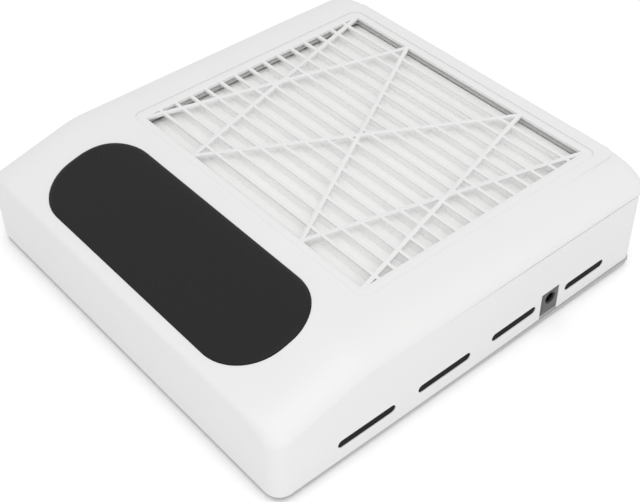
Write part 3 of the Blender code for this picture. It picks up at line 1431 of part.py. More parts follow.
def smooth_route(points, count):
    """Points on a smooth curve through the given ones, at even steps of its parameter."""
    padded = [points[0] * 2 - points[1], *points, points[-1] * 2 - points[-2]]
    made = []
    spans = len(points) - 1
    for i in range(count + 1):
        at = spans * i / count
        k = min(int(at), spans - 1)
        t = at - k
        a, b, c, d = padded[k : k + 4]
        made.append(
            (b * 2 + (c - a) * t + (a * 2 - b * 5 + c * 4 - d) * t**2 + (b * 3 - a - c * 3 + d) * t**3) / 2
        )
    return made


def lead(name, points, rest, material):
    """A round lead along a smooth route that never sinks below its resting height, with closed ends."""
    curve = bpy.data.curves.new(name, "CURVE")
    curve.dimensions = "3D"
    curve.bevel_depth = LEAD_RADIUS
    curve.bevel_resolution = 2
    curve.use_fill_caps = True
    route = smooth_route([Vector(p) for p in points], LEAD_POINTS)
    spline = curve.splines.new("POLY")
    spline.points.add(len(route) - 1)
    for point, place in zip(spline.points, route):
        point.co = (place.x, place.y, max(place.z, rest), 1.0)
    made = bpy.data.objects.new(name, curve)
    bpy.context.scene.collection.objects.link(made)
    curve.materials.append(material)
    return made


def build_leads(red, black):
    """Motor lead and switch lead, laid on the floor of the base plate."""
    floor = FLOOR_TOP + LEAD_RADIUS + SEAT_GAP
    motor_plug, switch_plug = plug_places()
    plug_side = motor_plug[0] - PLUG_BREADTH / 2 - SEAT_GAP
    height = BOARD_TOP + SEAT_GAP + PLUG_HEIGHT / 2
    edge = MOTOR_BOSS_RADIUS + SEAT_GAP
    span, rise = plug_side - edge, motor_plug[1] - CARTRIDGE_Y
    route = [(edge, CARTRIDGE_Y, floor)]
    route += [(edge + a * span, CARTRIDGE_Y + b * rise, floor) for a, b in MOTOR_LEAD_SHARES]
    route += [(plug_side - PLUG_BREADTH, motor_plug[1], height), (plug_side, motor_plug[1], height)]
    lead("motor_lead", route, floor, red)

    exit_x = SWITCH_X + SWITCH_LENGTH + 2 * SEAT_GAP
    exit_z = BUTTON_Z - SWITCH_SIDE / 4
    wheel_back = CARTRIDGE_Y + IMPELLER_RADIUS
    rear = wheel_back + SWITCH_LEAD_REAR_SHARE * (BACK_Y - WALL - wheel_back)
    span = rear - SOCKET_Y
    route = [(exit_x + i * SWITCH_LENGTH / 4, SOCKET_Y, exit_z) for i in range(3)]
    route += [(a * exit_x, SOCKET_Y + b * span, floor) for a, b in SWITCH_LEAD_LEFT_SHARES]
    route += [(a * plug_side, SOCKET_Y + b * span, floor) for a, b in SWITCH_LEAD_RIGHT_SHARES]
    route.append((plug_side - PLUG_LENGTH, switch_plug[1] + PLUG_LENGTH / 2, height))
    route.append((plug_side, switch_plug[1], height))
    lead("switch_lead", route, floor, black)


def shade(angle_degrees=32):
    """Smooth the round pieces and keep their real edges sharp."""
    for thing in bpy.context.scene.objects:
        if thing.type == "MESH":
            thing.data.shade_smooth()
            thing.data.set_sharp_from_angle(angle=math.radians(angle_degrees))


def main():
    clear_scene()
    white = finish_material("white_abs", (0.80, 0.80, 0.80), 0.42)
    light_grey = finish_material("light_grey_abs", (0.46, 0.46, 0.46), 0.5)
    soft_black = finish_material("soft_black_pad", (0.03, 0.03, 0.03), 0.75)
    paper = finish_material("filter_paper", (0.78, 0.78, 0.77), 0.9)
    foam = finish_material("pale_foam", (0.70, 0.70, 0.69), 0.95)
    ferrite = finish_material("magnet_ferrite", (0.05, 0.05, 0.05), 0.6)
    black = finish_material("black_nylon", (0.02, 0.02, 0.02), 0.55)
    mesh = finish_material("exhaust_mesh", (0.02, 0.02, 0.02), 0.8)
    rubber = finish_material("black_rubber", (0.02, 0.02, 0.02), 0.85)
    socket_grey = finish_material("socket_grey", (0.10, 0.10, 0.10), 0.5)
    steel = finish_material("zinc_steel", (0.62, 0.62, 0.64), 0.32, 1.0)
    dark_steel = finish_material("core_steel", (0.25, 0.25, 0.27), 0.45, 1.0)
    copper = finish_material("enamelled_copper", (0.55, 0.22, 0.08), 0.35, 1.0)
    brass = finish_material("nickel_pin", (0.70, 0.68, 0.60), 0.25, 1.0)
    green = finish_material("board_green", (0.02, 0.16, 0.06), 0.5)
    cream = finish_material("plug_cream", (0.70, 0.66, 0.55), 0.55)
    red = finish_material("red_pvc", (0.45, 0.03, 0.02), 0.5)

    build_top_housing(white)
    build_filter_well(white)
    build_exhaust_screens(mesh)
    build_base_plate(light_grey)
    build_case_screws(steel)
    build_feet(rubber)
    build_hand_rest(soft_black)

    cartridge = [
        build_filter_frame(white),
        build_filter_gasket(foam),
        build_filter_pleats(paper),
        build_filter_tray(white),
    ]
    carry("cartridge_lift", (0.0, CARTRIDGE_Y, CARTRIDGE_BOTTOM), cartridge)

    build_fan_deck(black)
    build_fan_guard(black)
    build_fan_screws(steel)
    turning = [build_impeller(black)]
    turning += build_motor(steel, steel, dark_steel, copper, ferrite)
    carry("fan_axis", (0.0, CARTRIDGE_Y, MOTOR_PLATE_TOP), turning)

    build_board(green, black, cream, steel)
    build_socket(socket_grey, brass)
    pressed = build_switch(white, black)
    carry("button_axis", (BUTTON_FACE_X, SOCKET_Y, BUTTON_Z), pressed)
    build_leads(red, black)
    shade()


main()
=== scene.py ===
import math

import bmesh
import bpy
import numpy as np
from mathutils import Matrix, Vector


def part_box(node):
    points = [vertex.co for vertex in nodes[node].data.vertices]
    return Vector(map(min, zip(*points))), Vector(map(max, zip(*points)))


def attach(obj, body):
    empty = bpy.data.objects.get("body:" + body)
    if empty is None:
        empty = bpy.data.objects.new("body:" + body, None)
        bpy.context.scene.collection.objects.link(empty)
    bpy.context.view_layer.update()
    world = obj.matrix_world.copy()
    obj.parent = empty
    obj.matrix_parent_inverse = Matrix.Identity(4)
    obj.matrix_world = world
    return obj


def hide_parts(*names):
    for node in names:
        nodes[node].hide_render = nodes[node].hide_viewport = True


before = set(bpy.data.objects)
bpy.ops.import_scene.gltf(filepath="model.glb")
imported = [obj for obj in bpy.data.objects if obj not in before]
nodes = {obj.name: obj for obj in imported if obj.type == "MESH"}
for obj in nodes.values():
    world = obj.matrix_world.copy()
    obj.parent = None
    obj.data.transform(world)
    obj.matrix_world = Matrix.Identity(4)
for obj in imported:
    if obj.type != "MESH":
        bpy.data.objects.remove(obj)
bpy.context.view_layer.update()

# ------------------------------------------------------------------ top housing
# The hood of the collector: one injection-moulded shell in white ABS with a fine matt texture.
# It slopes down to the user's hands, its long shoulders lap over the side walls, and it holds
# the deck's opening, the exhaust slots and the screw posts that the base plate is fixed to.


def box_of(name):
    """The low and the high corner of a node's box."""
    return (np.array(corner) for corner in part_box(name))


low, high = box_of("top_housing")
width, depth = high[0] - low[0], high[1] - low[1]
hood_bottom, deck_z, front_y, back_y = low[2], high[2], low[1], high[1]
crease_z = 0.0515
wall = 0.0026
corner_radius = 0.009
front_edge_radius, back_edge_radius = 0.0025, 0.0018
bend_distance, bend_radius = 0.058, 0.060
shoulder_width, shoulder_height = 0.0245, 0.0115
overhang, overhang_start = 0.0012, 0.30
seam_step, seam_start = 0.0009, 0.80
lip_round, lip_line, lip_groove, lip_hidden_share = 0.00025, 0.00085, 0.0009, 1.2
shoulder_start, round_share, outline_steps = 0.02, 0.3, 24
seat_gap, overrun = 0.0003, 0.004
slope_angle = math.atan2(deck_z - crease_z, bend_distance)
bend_tangent = bend_radius * math.tan(slope_angle / 2)
arc_start = bend_distance - bend_tangent * math.cos(slope_angle)
arc_end = bend_distance + bend_tangent


class Value:
    """A number that varies over a surface: it wraps a socket, and arithmetic on it adds Math nodes."""

    def __init__(self, finish, socket):
        self.finish, self.socket = finish, socket

    def worked(self, operation, first, second=0.0):
        made = self.finish.node("Math", {"operation": operation}, {0: first, 1: second})
        return Value(self.finish, made.outputs[0])

    def __add__(self, other):
        return self.worked("ADD", self, other)

    def __sub__(self, other):
        return self.worked("SUBTRACT", self, other)

    def __rsub__(self, other):
        return self.worked("SUBTRACT", other, self)

    def __mul__(self, other):
        return self.worked("MULTIPLY", self, other)

    def __pow__(self, other):
        return self.worked("POWER", self, other)

    def __gt__(self, other):
        return self.worked("GREATER_THAN", self, other)

    def sine(self):
        return self.worked("SINE", self)

    def larger(self, other):
        return self.worked("MAXIMUM", self, other)

    __radd__, __rmul__ = __add__, __mul__


class Finish:
    """A procedural material built round one Principled shader, on the object's own coordinates."""

    def __init__(self, name, colour, roughness, metallic=0.0, **fixed):
        self.material = bpy.data.materials.new(name)
        self.material.use_nodes = True
        self.material.diffuse_color = (*colour, 1.0)
        self.tree = self.material.node_tree
        self.shader = self.tree.nodes["Principled BSDF"]
        self.feed("Base Color", (*colour, 1.0))
        self.feed("Roughness", roughness)
        self.feed("Metallic", metallic)
        for socket, value in fixed.items():
            self.feed(socket.replace("_", " "), value)
        self.place = self.node("TexCoord").outputs["Object"]
        split = self.node("SeparateXYZ", {}, {0: self.place})
        self.x, self.y, self.z = (Value(self, output) for output in split.outputs)

    def node(self, kind, settings=None, sockets=None):
        """Any node: its settings first, then each socket's value or link."""
        made = self.tree.nodes.new("ShaderNode" + kind)
        for name, value in (settings or {}).items():
            setattr(made, name, value)
        for key, value in (sockets or {}).items():
            self.join(value, made.inputs[key])
        return made

    def join(self, value, socket):
        """Link a varying value to a socket, or set the socket to a constant."""
        if isinstance(value, Value):
            value = value.socket
        if isinstance(value, bpy.types.NodeSocket):
            self.tree.links.new(value, socket)
        else:
            socket.default_value = value

    def feed(self, name, value):
        """Set or link one socket of the shader."""
        self.join(value, self.shader.inputs[name])

    def noise(self, size, detail=2.0, place=None):
        """Cloudy variation from 0 to 1 whose features are about this size in metres."""
        sockets = {"Vector": place or self.place, "Scale": 1 / size, "Detail": detail}
        made = self.node("TexNoise", {}, sockets)
        return Value(self, made.outputs["Fac"])

    def cells(self, size, feature="F1", place=None):
        """Distance pattern of packed cells about this size in metres."""
        sockets = {"Vector": place or self.place, "Scale": 1 / size}
        made = self.node("TexVoronoi", {"feature": feature}, sockets)
        return Value(self, made.outputs["Distance"])

    def stretched(self, factors):
        """Object coordinates scaled apart along the three axes."""
        return self.node("VectorMath", {"operation": "MULTIPLY"}, {0: self.place, 1: factors}).outputs[0]

    def blend(self, factor, first, second):
        """A colour between two, by a factor from 0 to 1; a Mix node takes colours in sockets 6 and 7."""
        colours = {"Factor": factor, 6: (*first, 1.0), 7: (*second, 1.0)}
        made = self.node("Mix", {"data_type": "RGBA"}, colours)
        return made.outputs[2]

    def relief(self, height, distance):
        """Raise and sink the surface by a height pattern, over this distance in metres."""
        bump = self.node("Bump", {}, {"Height": height, "Distance": distance, "Strength": 1.0})
        self.feed("Normal", bump.outputs["Normal"])
        return self.material


def moulded(name, colour, shade, roughness, grain=0.0004, depth=0.000006, **fixed):
    """Moulded plastic: an even colour that drifts slightly, over a fine spark-eroded texture."""
    finish = Finish(name, colour, roughness, **fixed)
    drift = finish.noise(0.03, 3.0)
    finish.feed("Base Color", finish.blend(drift, shade, colour))
    texture = finish.noise(grain, 1.5)
    finish.feed("Roughness", texture * 0.10 + (roughness - 0.05))
    return finish.relief(texture, depth)


white_abs = moulded("white_abs", (0.815, 0.815, 0.812), (0.795, 0.795, 0.793), 0.42)


def quarter_round(distance, radius):
    """Drop of a round edge: the radius less the height of its circle at a distance from the wall."""
    reach = np.clip(distance, 0.0, radius)
    return radius - np.sqrt(radius**2 - (radius - reach) ** 2)


def soft_step(share):
    """From 0 to 1 with soft ends: 3 times the square less 2 times the cube."""
    share = np.clip(share, 0.0, 1.0)
    return share**2 * (3 - 2 * share)


def roof(distance):
    """Height on the centreline: a straight slope, an arc tangent to it, then the level deck."""
    slope = crease_z + distance * math.tan(slope_angle)
    arc = deck_z - bend_radius + np.sqrt(bend_radius**2 - np.clip(arc_end - distance, 0, bend_radius) ** 2)
    return np.where(distance < arc_start, slope, np.where(distance < arc_end, arc, deck_z))


def shown(name, data):
    """A new object of the scene that holds this data."""
    made = bpy.data.objects.new(name, data)
    bpy.context.scene.collection.objects.link(made)
    return made


def faced(name, grid, index, ends=()):
    """A mesh on a grid of points: a face between each four neighbours in the index, and the end faces."""
    quads = np.stack([index[:-1, :-1], index[:-1, 1:], index[1:, 1:], index[1:, :-1]], axis=-1)
    mesh = bpy.data.meshes.new(name)
    mesh.from_pydata(grid.reshape(-1, 3).tolist(), [], quads.reshape(-1, 4).tolist() + list(ends))
    return shown(name, mesh)


def skin(name, grid, round_rows=False, caps=True):
    """A surface on a grid of points whose rows are closed outlines; flat faces close the two ends."""
    rows, columns = grid.shape[:2]
    index = np.arange(rows * columns).reshape(rows, columns)
    ends = [index[0, ::-1].tolist(), index[-1].tolist()] if caps and not round_rows else []
    index = np.hstack([index, index[:, :1]])
    if round_rows:
        index = np.vstack([index, index[:1]])
    return faced(name, grid, index, ends)


def tidy(piece, sharp_degrees=30, merge=2e-6):
    """Merge doubles, turn the faces outwards, and shade smooth with sharp real edges."""
    bm = bmesh.new()
    bm.from_mesh(piece.data)
    bmesh.ops.remove_doubles(bm, verts=bm.verts, dist=merge)
    bmesh.ops.dissolve_degenerate(bm, edges=bm.edges, dist=merge)
    bmesh.ops.recalc_face_normals(bm, faces=bm.faces)
    bm.to_mesh(piece.data)
    bm.free()
    piece.data.shade_smooth()
    piece.data.set_sharp_from_angle(angle=math.radians(sharp_degrees))
    return piece


def shape_with(target, operation, *tools):
    """Join or cut a solid with others by exact Booleans, and take the tools away."""
    for tool in (target, *tools):
        tidy(tool)
    for tool in tools:
        step = target.modifiers.new(operation, "BOOLEAN")
        step.operation, step.solver, step.object = operation, "EXACT", tool
    bpy.context.view_layer.update()
    graph = bpy.context.evaluated_depsgraph_get()
    result = bpy.data.meshes.new_from_object(target.evaluated_get(graph))
    target.modifiers.clear()
    target.data = result
    for tool in tools:
        bpy.data.objects.remove(tool)
    return target


def dress(piece, material, slot, body, *replaced):
    """Give a finished piece its material and the body it rides on; the slot argument is not used."""
    piece.data.materials.clear()
    piece.data.materials.append(material)
    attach(piece, body)
    if replaced:
        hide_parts(*replaced)
    return piece


def wall_lean(distance):
    """How far the shoulders hang over the wall: the full overhang times a soft step along the depth."""
    return overhang * soft_step((distance / depth - overhang_start) / (1 - overhang_start))


def sections(distance, inset, shoulder_steps, deck_columns):
    """Cross-sections of the hood: upright walls, a grooved lip, quarter-ellipse shoulders, a level top."""
    edge = quarter_round(distance - inset, front_edge_radius)
    edge = edge + quarter_round(depth - inset - distance, back_edge_radius)
    top = roof(distance) - edge
    reach = np.minimum(distance - inset, depth - inset - distance)
    half = width / 2 - inset - quarter_round(reach, corner_radius)
    lean = wall_lean(distance)
    step = seam_step * soft_step((distance / depth - seam_start) / (1 - seam_start))
    foot = top - shoulder_height
    bottom = np.full_like(top, hood_bottom)
    if inset:
        bottom = bottom - overrun
        top, step = top - inset, 0.0
        half = half - overhang
        side = [(half, bottom), (half, foot)]
    else:
        fillet = np.minimum(lip_round, lean / 3)
        grooved = half - lean - lip_groove * lean / overhang
        groove_foot = foot - lip_line - lip_hidden_share * lean
        side = [(half - lean, bottom), (half - lean, groove_foot)]
        side += [(grooved, groove_foot), (grooved, foot), (half - fillet, foot)]
        side += [(half - round_share * fillet, foot + round_share * fillet)]
    radius_x, radius_z = shoulder_width - inset, top - step - foot
    start = 0.0 if inset else shoulder_start
    for angle in np.radians(90) * np.linspace(start, 1.0, shoulder_steps + 1):
        side.append((half - radius_x + radius_x * math.cos(angle), foot + radius_z * math.sin(angle)))
    if not inset:
        side.append((half - radius_x, top))
    x = np.stack([x for x, z in side], axis=1)
    z = np.stack([z for x, z in side], axis=1)
    share = np.linspace(1, -1, deck_columns + 2)[None, 1:-1]
    x = np.hstack([x, x[:, -1:] * share, -x[:, ::-1]])
    z = np.hstack([z, z[:, -1:] * np.ones_like(share), z[:, ::-1]])
    y = np.broadcast_to((front_y + distance)[:, None], x.shape)
    return np.stack([x, y, z], axis=-1)


def stations(inset, corner_steps, slope_steps, bend_steps, deck_steps):
    """Distances from the front wall at which sections are drawn, closer in the corners and the bend."""
    quarter = corner_radius * (1 - np.cos(np.radians(90) * np.linspace(0, 1, corner_steps + 1)))
    slope = np.linspace(inset + corner_radius, arc_start, slope_steps + 2)[1:-1]
    bend = np.linspace(arc_start, arc_end, bend_steps + 1)
    deck = np.linspace(arc_end, depth - inset - corner_radius, deck_steps + 2)[1:-1]
    return np.concatenate([inset + quarter, slope, bend, deck, depth - inset - quarter[::-1]])


def rounded_rectangle(across, along, radius, centre_y=0.0, steps=8):
    """Four corner arcs joined by straight sides, anticlockwise, as columns of x and y."""
    quarter = np.repeat(np.arange(4), steps + 1)
    turn = np.radians(90) * (quarter + np.tile(np.linspace(0, 1, steps + 1), 4))
    side_x, side_y = np.array([1, -1, -1, 1])[quarter], np.array([1, 1, -1, -1])[quarter]
    x = side_x * (across / 2 - radius) + radius * np.cos(turn)
    y = centre_y + side_y * (along / 2 - radius) + radius * np.sin(turn)
    return np.stack([x, y], axis=1)


def stacked(name, outlines, levels, axis=2, round_rows=False):
    """Outlines laid at levels along an axis and joined in turn, and the last to the first if round."""
    grid = np.stack([np.insert(outline, axis, level, axis=1) for outline, level in zip(outlines, levels)])
    return skin(name, grid, round_rows)


def disc(radius, steps, centre):
    """Points of a circle round a centre."""
    turn = np.linspace(0, math.tau, steps, endpoint=False)
    return np.stack([centre[0] + radius * np.cos(turn), centre[1] + radius * np.sin(turn)], axis=1)


def race_track(start, end, height, middle, steps=8):
    """Outline of a slot with round ends: two half circles, as columns of y and z."""
    radius = height / 2
    turn = np.radians(np.linspace(-90, 90, 2 * steps + 1))
    far = np.stack([end - radius + radius * np.cos(turn), middle + radius * np.sin(turn)], axis=1)
    near = np.stack([start + radius - radius * np.cos(turn), middle - radius * np.sin(turn)], axis=1)
    return np.vstack([far, near])


def on_slope(along, lift):
    """Height and depth of a point at a distance along the top surface, lifted square to it."""
    slope_length = bend_distance / math.cos(slope_angle) - bend_tangent
    angle = np.clip(slope_angle - (along - slope_length) / bend_radius, 0.0, slope_angle)
    in_bend = bend_distance + bend_tangent - bend_radius * np.sin(angle)
    past = np.maximum(along - slope_length - bend_radius * slope_angle, 0.0)
    before = np.minimum(along - slope_length, 0.0) * math.cos(slope_angle)
    y = front_y + in_bend + past + before - lift * np.sin(angle)
    sunk = np.minimum(along - slope_length, 0.0) * math.sin(slope_angle)
    return y, deck_z - bend_radius + bend_radius * np.cos(angle) + sunk + lift * np.cos(angle)


def pad_outline(offset):
    """The hand rest's outline: a rounded rectangle pushed out by an offset, as columns of x and y."""
    radius = max(pad_radius + offset, 0.0)
    across, along = pad_length + 2 * offset, pad_breadth + 2 * offset
    outline = rounded_rectangle(across, max(along, 0.0), radius, pad_front + pad_breadth / 2, outline_steps)
    return outline[:, 0] + pad_shift, outline[:, 1]


outside = stations(0.0, corner_steps=12, slope_steps=10, bend_steps=16, deck_steps=26)
inside = stations(wall, corner_steps=6, slope_steps=3, bend_steps=8, deck_steps=6)
hood = skin("hood", sections(outside, 0.0, shoulder_steps=22, deck_columns=30))
cavity = skin("cavity", sections(inside, wall, shoulder_steps=10, deck_columns=4))
shape_with(hood, "DIFFERENCE", cavity)

posts = []
post_radius, post_foot, post_inset, post_columns = 0.0042, 0.0097, 0.0165, 20
post_shares = (0.075, 0.519, 0.930)
for side in (-1, 1):
    for share in post_shares:
        place = (side * (width / 2 - post_inset), front_y + share * depth)
        reach = abs(place[0]) + post_radius - (width / 2 - shoulder_width)
        drop = shoulder_height * (1 - math.sqrt(1 - (reach / shoulder_width) ** 2))
        top = float(roof(np.array(share * depth - post_radius))) - drop - wall / 2
        posts.append(stacked("post", [disc(post_radius, post_columns, place)] * 2, [post_foot, top]))
shape_with(hood, "UNION", *posts)

cartridge_low, cartridge_high = box_of("filter_frame")
cartridge_width, cartridge_depth = (cartridge_high - cartridge_low)[:2]
cartridge_y = (cartridge_low[1] + cartridge_high[1]) / 2
cartridge_corner, deck_gap = 0.006, 0.00005
deck_hole = rounded_rectangle(
    cartridge_width + 2 * deck_gap, cartridge_depth + 2 * deck_gap, cartridge_corner, cartridge_y, 10
)
cutters = [stacked("deck_hole", [deck_hole] * 2, [deck_z - 2 * wall, deck_z + overrun])]
slot_height, slot_z = 0.0053, 0.0168
slot_shares = ((0.145, 0.288), (0.347, 0.488), (0.549, 0.677), (0.767, 0.888))
for start, end in slot_shares:
    slot = race_track(front_y + start * depth, front_y + end * depth, slot_height, slot_z)
    for side in (-1, 1):
        reach = sorted((side * (width / 2 + overrun), side * (width / 2 - 2 * overrun)))
        cutters.append(stacked("slot", [slot] * 2, reach, axis=0))
socket_low, socket_high = box_of("power_socket")
socket_y = (socket_low[1] + socket_high[1]) / 2
notch_half = (socket_high[1] - socket_low[1]) / 2 + seat_gap
notch_top = socket_high[2] + seat_gap
notch = np.array([(-1, 0), (1, 0), (1, 1), (-1, 1)]) * (notch_half, notch_top) + (socket_y, 0.0)
cutters.append(stacked("notch", [notch] * 2, [width / 2 - 2 * overrun, width / 2 + overrun], axis=0))
button_low, button_high = box_of("power_button")
button_z, button_radius = (button_low[2] + button_high[2]) / 2, 0.0050
button_hole = disc(button_radius + seat_gap, 40, (socket_y, button_z))
cutters.append(
    stacked("button_hole", [button_hole] * 2, [-width / 2 - overrun, -width / 2 + 2 * overrun], axis=0)
)
notch_reach, notch_half_width, notch_depth = 0.0022, 0.0008, 0.0016
for side in (-1, 1):
    seam_x = side * (width / 2 - shoulder_width)
    seam_notch = np.array([(-1, 0), (1, 0), (1, 1), (-1, 1)]) * (notch_half_width, notch_reach + overrun)
    seam_notch = seam_notch + (seam_x, back_y - notch_reach)
    cutters.append(stacked("seam_notch", [seam_notch] * 2, [deck_z - notch_depth, deck_z + overrun]))
pad_length, pad_breadth, pad_front, pad_radius = 0.1902, 0.0623, 0.00785, 0.0285
pad_shift, pad_recess = 0.0013, 0.0012
pad_x, pad_along = pad_outline(seat_gap)
recess = []
for lift in (-pad_recess, overrun):
    y, z = on_slope(pad_along, lift)
    recess.append(np.stack([pad_x, y, z], axis=1))
cutters.append(skin("recess", np.stack(recess)))
shape_with(hood, "DIFFERENCE", *cutters)
dress(tidy(hood, 28), white_abs, "white_abs", "case", "top_housing")

# ------------------------------------------------------------------ base plate
# The flat bottom cover in light grey ABS, screwed up into the hood's posts from below.
# Its rim shows as a thin grey band all round under the hood. Its grey is set to that band's tone, and so is
# partly painted shade under the hood's edge.

# The grey is darkened to the band's tone under the hood: light grey plastic, and partly painted shade.
light_grey_abs = moulded("light_grey_abs", (0.47, 0.47, 0.47), (0.44, 0.44, 0.44), 0.5)


def repaint(material, *names):
    """Give nodes that keep their own shape a better material."""
    for name in names:
        mesh = nodes[name].data
        for slot in range(len(mesh.materials)):
            mesh.materials[slot] = material


repaint(light_grey_abs, "base_plate")

# ------------------------------------------------------------------ exhaust screens
# Strips of fine black nylon mesh, woven and heat-cut, clipped behind the slots of both side walls.
# Pads of the same dark mesh fill each slot, just under the wall's face: painted shade, dark sheets set
# where the slots are only shaded inside.

screen = Finish("exhaust_mesh", (0.010, 0.010, 0.010), 0.8, Specular_IOR_Level=0.2)
thread_pitch = 0.0009
warp = (screen.y * (math.tau / thread_pitch)).sine()
weft = (screen.z * (math.tau / thread_pitch)).sine()
strands = warp.larger(weft)
screen.feed("Base Color", screen.blend(strands * 0.5 + 0.5, (0.004, 0.004, 0.004), (0.014, 0.014, 0.014)))
repaint(screen.relief(strands, 0.00015), "exhaust_screen_left", "exhaust_screen_right")


def gathered(name, pieces):
    """One object that holds the meshes of several, which are taken away."""
    bm = bmesh.new()
    for piece in pieces:
        bm.from_mesh(tidy(piece).data)
        bpy.data.objects.remove(piece)
    mesh = bpy.data.meshes.new(name)
    bm.to_mesh(mesh)
    bm.free()
    return tidy(shown(name, mesh))


screen_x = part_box("exhaust_screen_right")[1].x
# Each slot is filled just under the face by a dark pad: painted shade in the slot.
fill_gap, fill_sunk = 0.00005, 0.0004
for side, name in ((-1, "left"), (1, "right")):
    fills = []
    for start, end in slot_shares:
        start, end = front_y + start * depth + fill_gap, front_y + end * depth - fill_gap
        fill = race_track(start, end, slot_height - 2 * fill_gap, slot_z)
        face = side * (width / 2 - wall_lean(fill[:, 0] - front_y) - fill_sunk)
        fills.append(stacked("fill", [fill] * 2, [np.full_like(face, side * screen_x), face], axis=0))
    dress(gathered(f"slot_shade_pad_{name}", fills), screen.material, "exhaust_mesh", "case")

# ------------------------------------------------------------------ control board
# A green glass-fibre board that carries the power socket, the motor's driver and its capacitor.
# Two cream plugs take the leads of the motor and of the switch.

board_green = Finish("board_green", (0.015, 0.13, 0.05), 0.35, Coat_Weight=0.3)
track_size, track_gap_share = 0.004, 0.06
tracks = board_green.cells(track_size, "DISTANCE_TO_EDGE") > track_gap_share
board_green.feed("Base Color", board_green.blend(tracks, (0.02, 0.19, 0.08), (0.012, 0.11, 0.045)))
repaint(board_green.relief(1 - tracks, 0.00004), "control_board")
black_nylon = moulded("black_nylon", (0.024, 0.024, 0.025), (0.018, 0.018, 0.019), 0.5, 0.0006, 0.00001)
repaint(black_nylon, "driver_chip")
sleeve = moulded("capacitor_sleeve", (0.020, 0.022, 0.032), (0.015, 0.016, 0.025), 0.25, 0.002, 0.00003)
repaint(sleeve, "smoothing_capacitor")
plug_cream = moulded("plug_cream", (0.70, 0.66, 0.55), (0.66, 0.62, 0.50), 0.5)
repaint(plug_cream, "motor_lead_plug", "switch_lead_plug")

# ------------------------------------------------------------------ power socket
# A square block in dark grey plastic with a round mouth for a barrel plug, soldered to the board.
# A turned and nickel-plated pin stands in the middle of the mouth.

mouth_radius, mouth_depth, mouth_rise = 0.0030, 0.0095, 0.0107
mouth_flare, flare_depth, mouth_shade_margin, mouth_columns = 0.0039, 0.0007, 0.0001, 72
mouth_z = socket_low[2] + mouth_rise
socket_grey = Finish("socket_grey", (0.098, 0.098, 0.100), 0.45)
# Inside the mouth and its flare the colour is painted near black: painted shade in the hole.
from_axis = ((socket_grey.y - socket_y) ** 2 + (socket_grey.z - mouth_z) ** 2) ** 0.5
on_face = from_axis > mouth_flare + mouth_shade_margin
socket_grey.feed("Base Color", socket_grey.blend(on_face, (0.006, 0.006, 0.006), (0.098, 0.098, 0.100)))
socket_grey.feed("Roughness", socket_grey.noise(0.0005) * 0.1 + 0.4)
socket_grey.relief(socket_grey.noise(0.0005, 1.5), 0.000006)
face_edge, edge_share, pin_root_radius = 0.0005, 0.4, 0.0013
corners = [
    math.atan2(z - mouth_z, y - socket_y)
    for y in (socket_low[1], socket_high[1])
    for z in (socket_low[2], socket_high[2])
]
turn = np.sort(np.concatenate([np.linspace(-math.pi, math.pi, mouth_columns, endpoint=False), corners]))


def box_reach(turn, margin):
    """Distance from the mouth's middle to the block's outline along each direction, less a margin."""
    across = (socket_high[1] - socket_low[1]) / 2 - margin
    above, below = socket_high[2] - mouth_z - margin, mouth_z - socket_low[2] - margin
    with np.errstate(divide="ignore"):
        sideways = across / np.abs(np.cos(turn))
        upright = np.where(np.sin(turn) > 0, above, below) / np.abs(np.sin(turn))
    return np.minimum(sideways, upright)


def around_mouth(reach, x):
    """Points at a distance from the mouth's axis in each direction, on one level of x."""
    reach = np.broadcast_to(reach, turn.shape)
    y, z = socket_y + reach * np.cos(turn), mouth_z + reach * np.sin(turn)
    return np.stack([np.full_like(turn, x), y, z], axis=1)


face_x = socket_high[0]
rows = [
    around_mouth(box_reach(turn, 0.0), socket_low[0]),
    around_mouth(box_reach(turn, 0.0), face_x - face_edge),
    around_mouth(box_reach(turn, edge_share * face_edge), face_x - round_share * face_edge),
    around_mouth(box_reach(turn, face_edge), face_x),
    around_mouth(mouth_flare, face_x),
    around_mouth(mouth_radius, face_x - flare_depth),
    around_mouth(mouth_radius, face_x - mouth_depth),
    around_mouth(pin_root_radius, face_x - mouth_depth),
]
socket = tidy(skin("barrel_socket", np.stack(rows)), 35)
dress(socket, socket_grey.material, "socket_grey", "case", "power_socket")


def turned(name, profile, centre, columns=48, axis=2):
    """A profile of radius and height turned round an axis: one circle of points for each profile point."""
    radius, height = np.array(profile).T
    circle = np.linspace(0, math.tau, columns, endpoint=False)
    first = centre[0] + radius[:, None] * np.cos(circle)
    second = centre[1] + radius[:, None] * np.sin(circle)
    along = np.broadcast_to(height[:, None], first.shape)
    order = (first, second, along) if axis == 2 else (along, first, second)
    return tidy(skin(name, np.stack(order, axis=-1)), 35)


def arc(middle, radius, start, end, steps=6):
    """Points of an arc round a middle, between two angles in degrees."""
    sweep = np.radians(np.linspace(start, end, steps + 1))
    return [(middle[0] + radius * math.cos(a), middle[1] + radius * math.sin(a)) for a in sweep]


nickel = Finish("nickel_pin", (0.70, 0.68, 0.60), 0.25, 1.0)
rings = nickel.noise(0.0003, 2.0, nickel.stretched((20.0, 1.0, 1.0)))
nickel.feed("Roughness", rings * 0.15 + 0.18)
nickel.relief(rings, 0.000003)
pin_low, pin_high = box_of("socket_pin")
pin_radius, pin_tip = (pin_high[1] - pin_low[1]) / 2, 0.0006
pin_end = arc((pin_radius - pin_tip, pin_high[0] - pin_tip), pin_tip, 0, 90)
pin_profile = [(0, pin_low[0]), (pin_radius, pin_low[0]), *pin_end, (0, pin_high[0])]
pin = turned("centre_pin", pin_profile, (socket_y, mouth_z), 32, 0)
dress(pin, nickel.material, "nickel_pin", "case", "socket_pin")

# ------------------------------------------------------------------ power button and switch
# A round white cap with a dished face and a flange that stops it behind the left wall.
# It pushes a plunger into a latching switch, both in black nylon, held in the base plate's cradle.

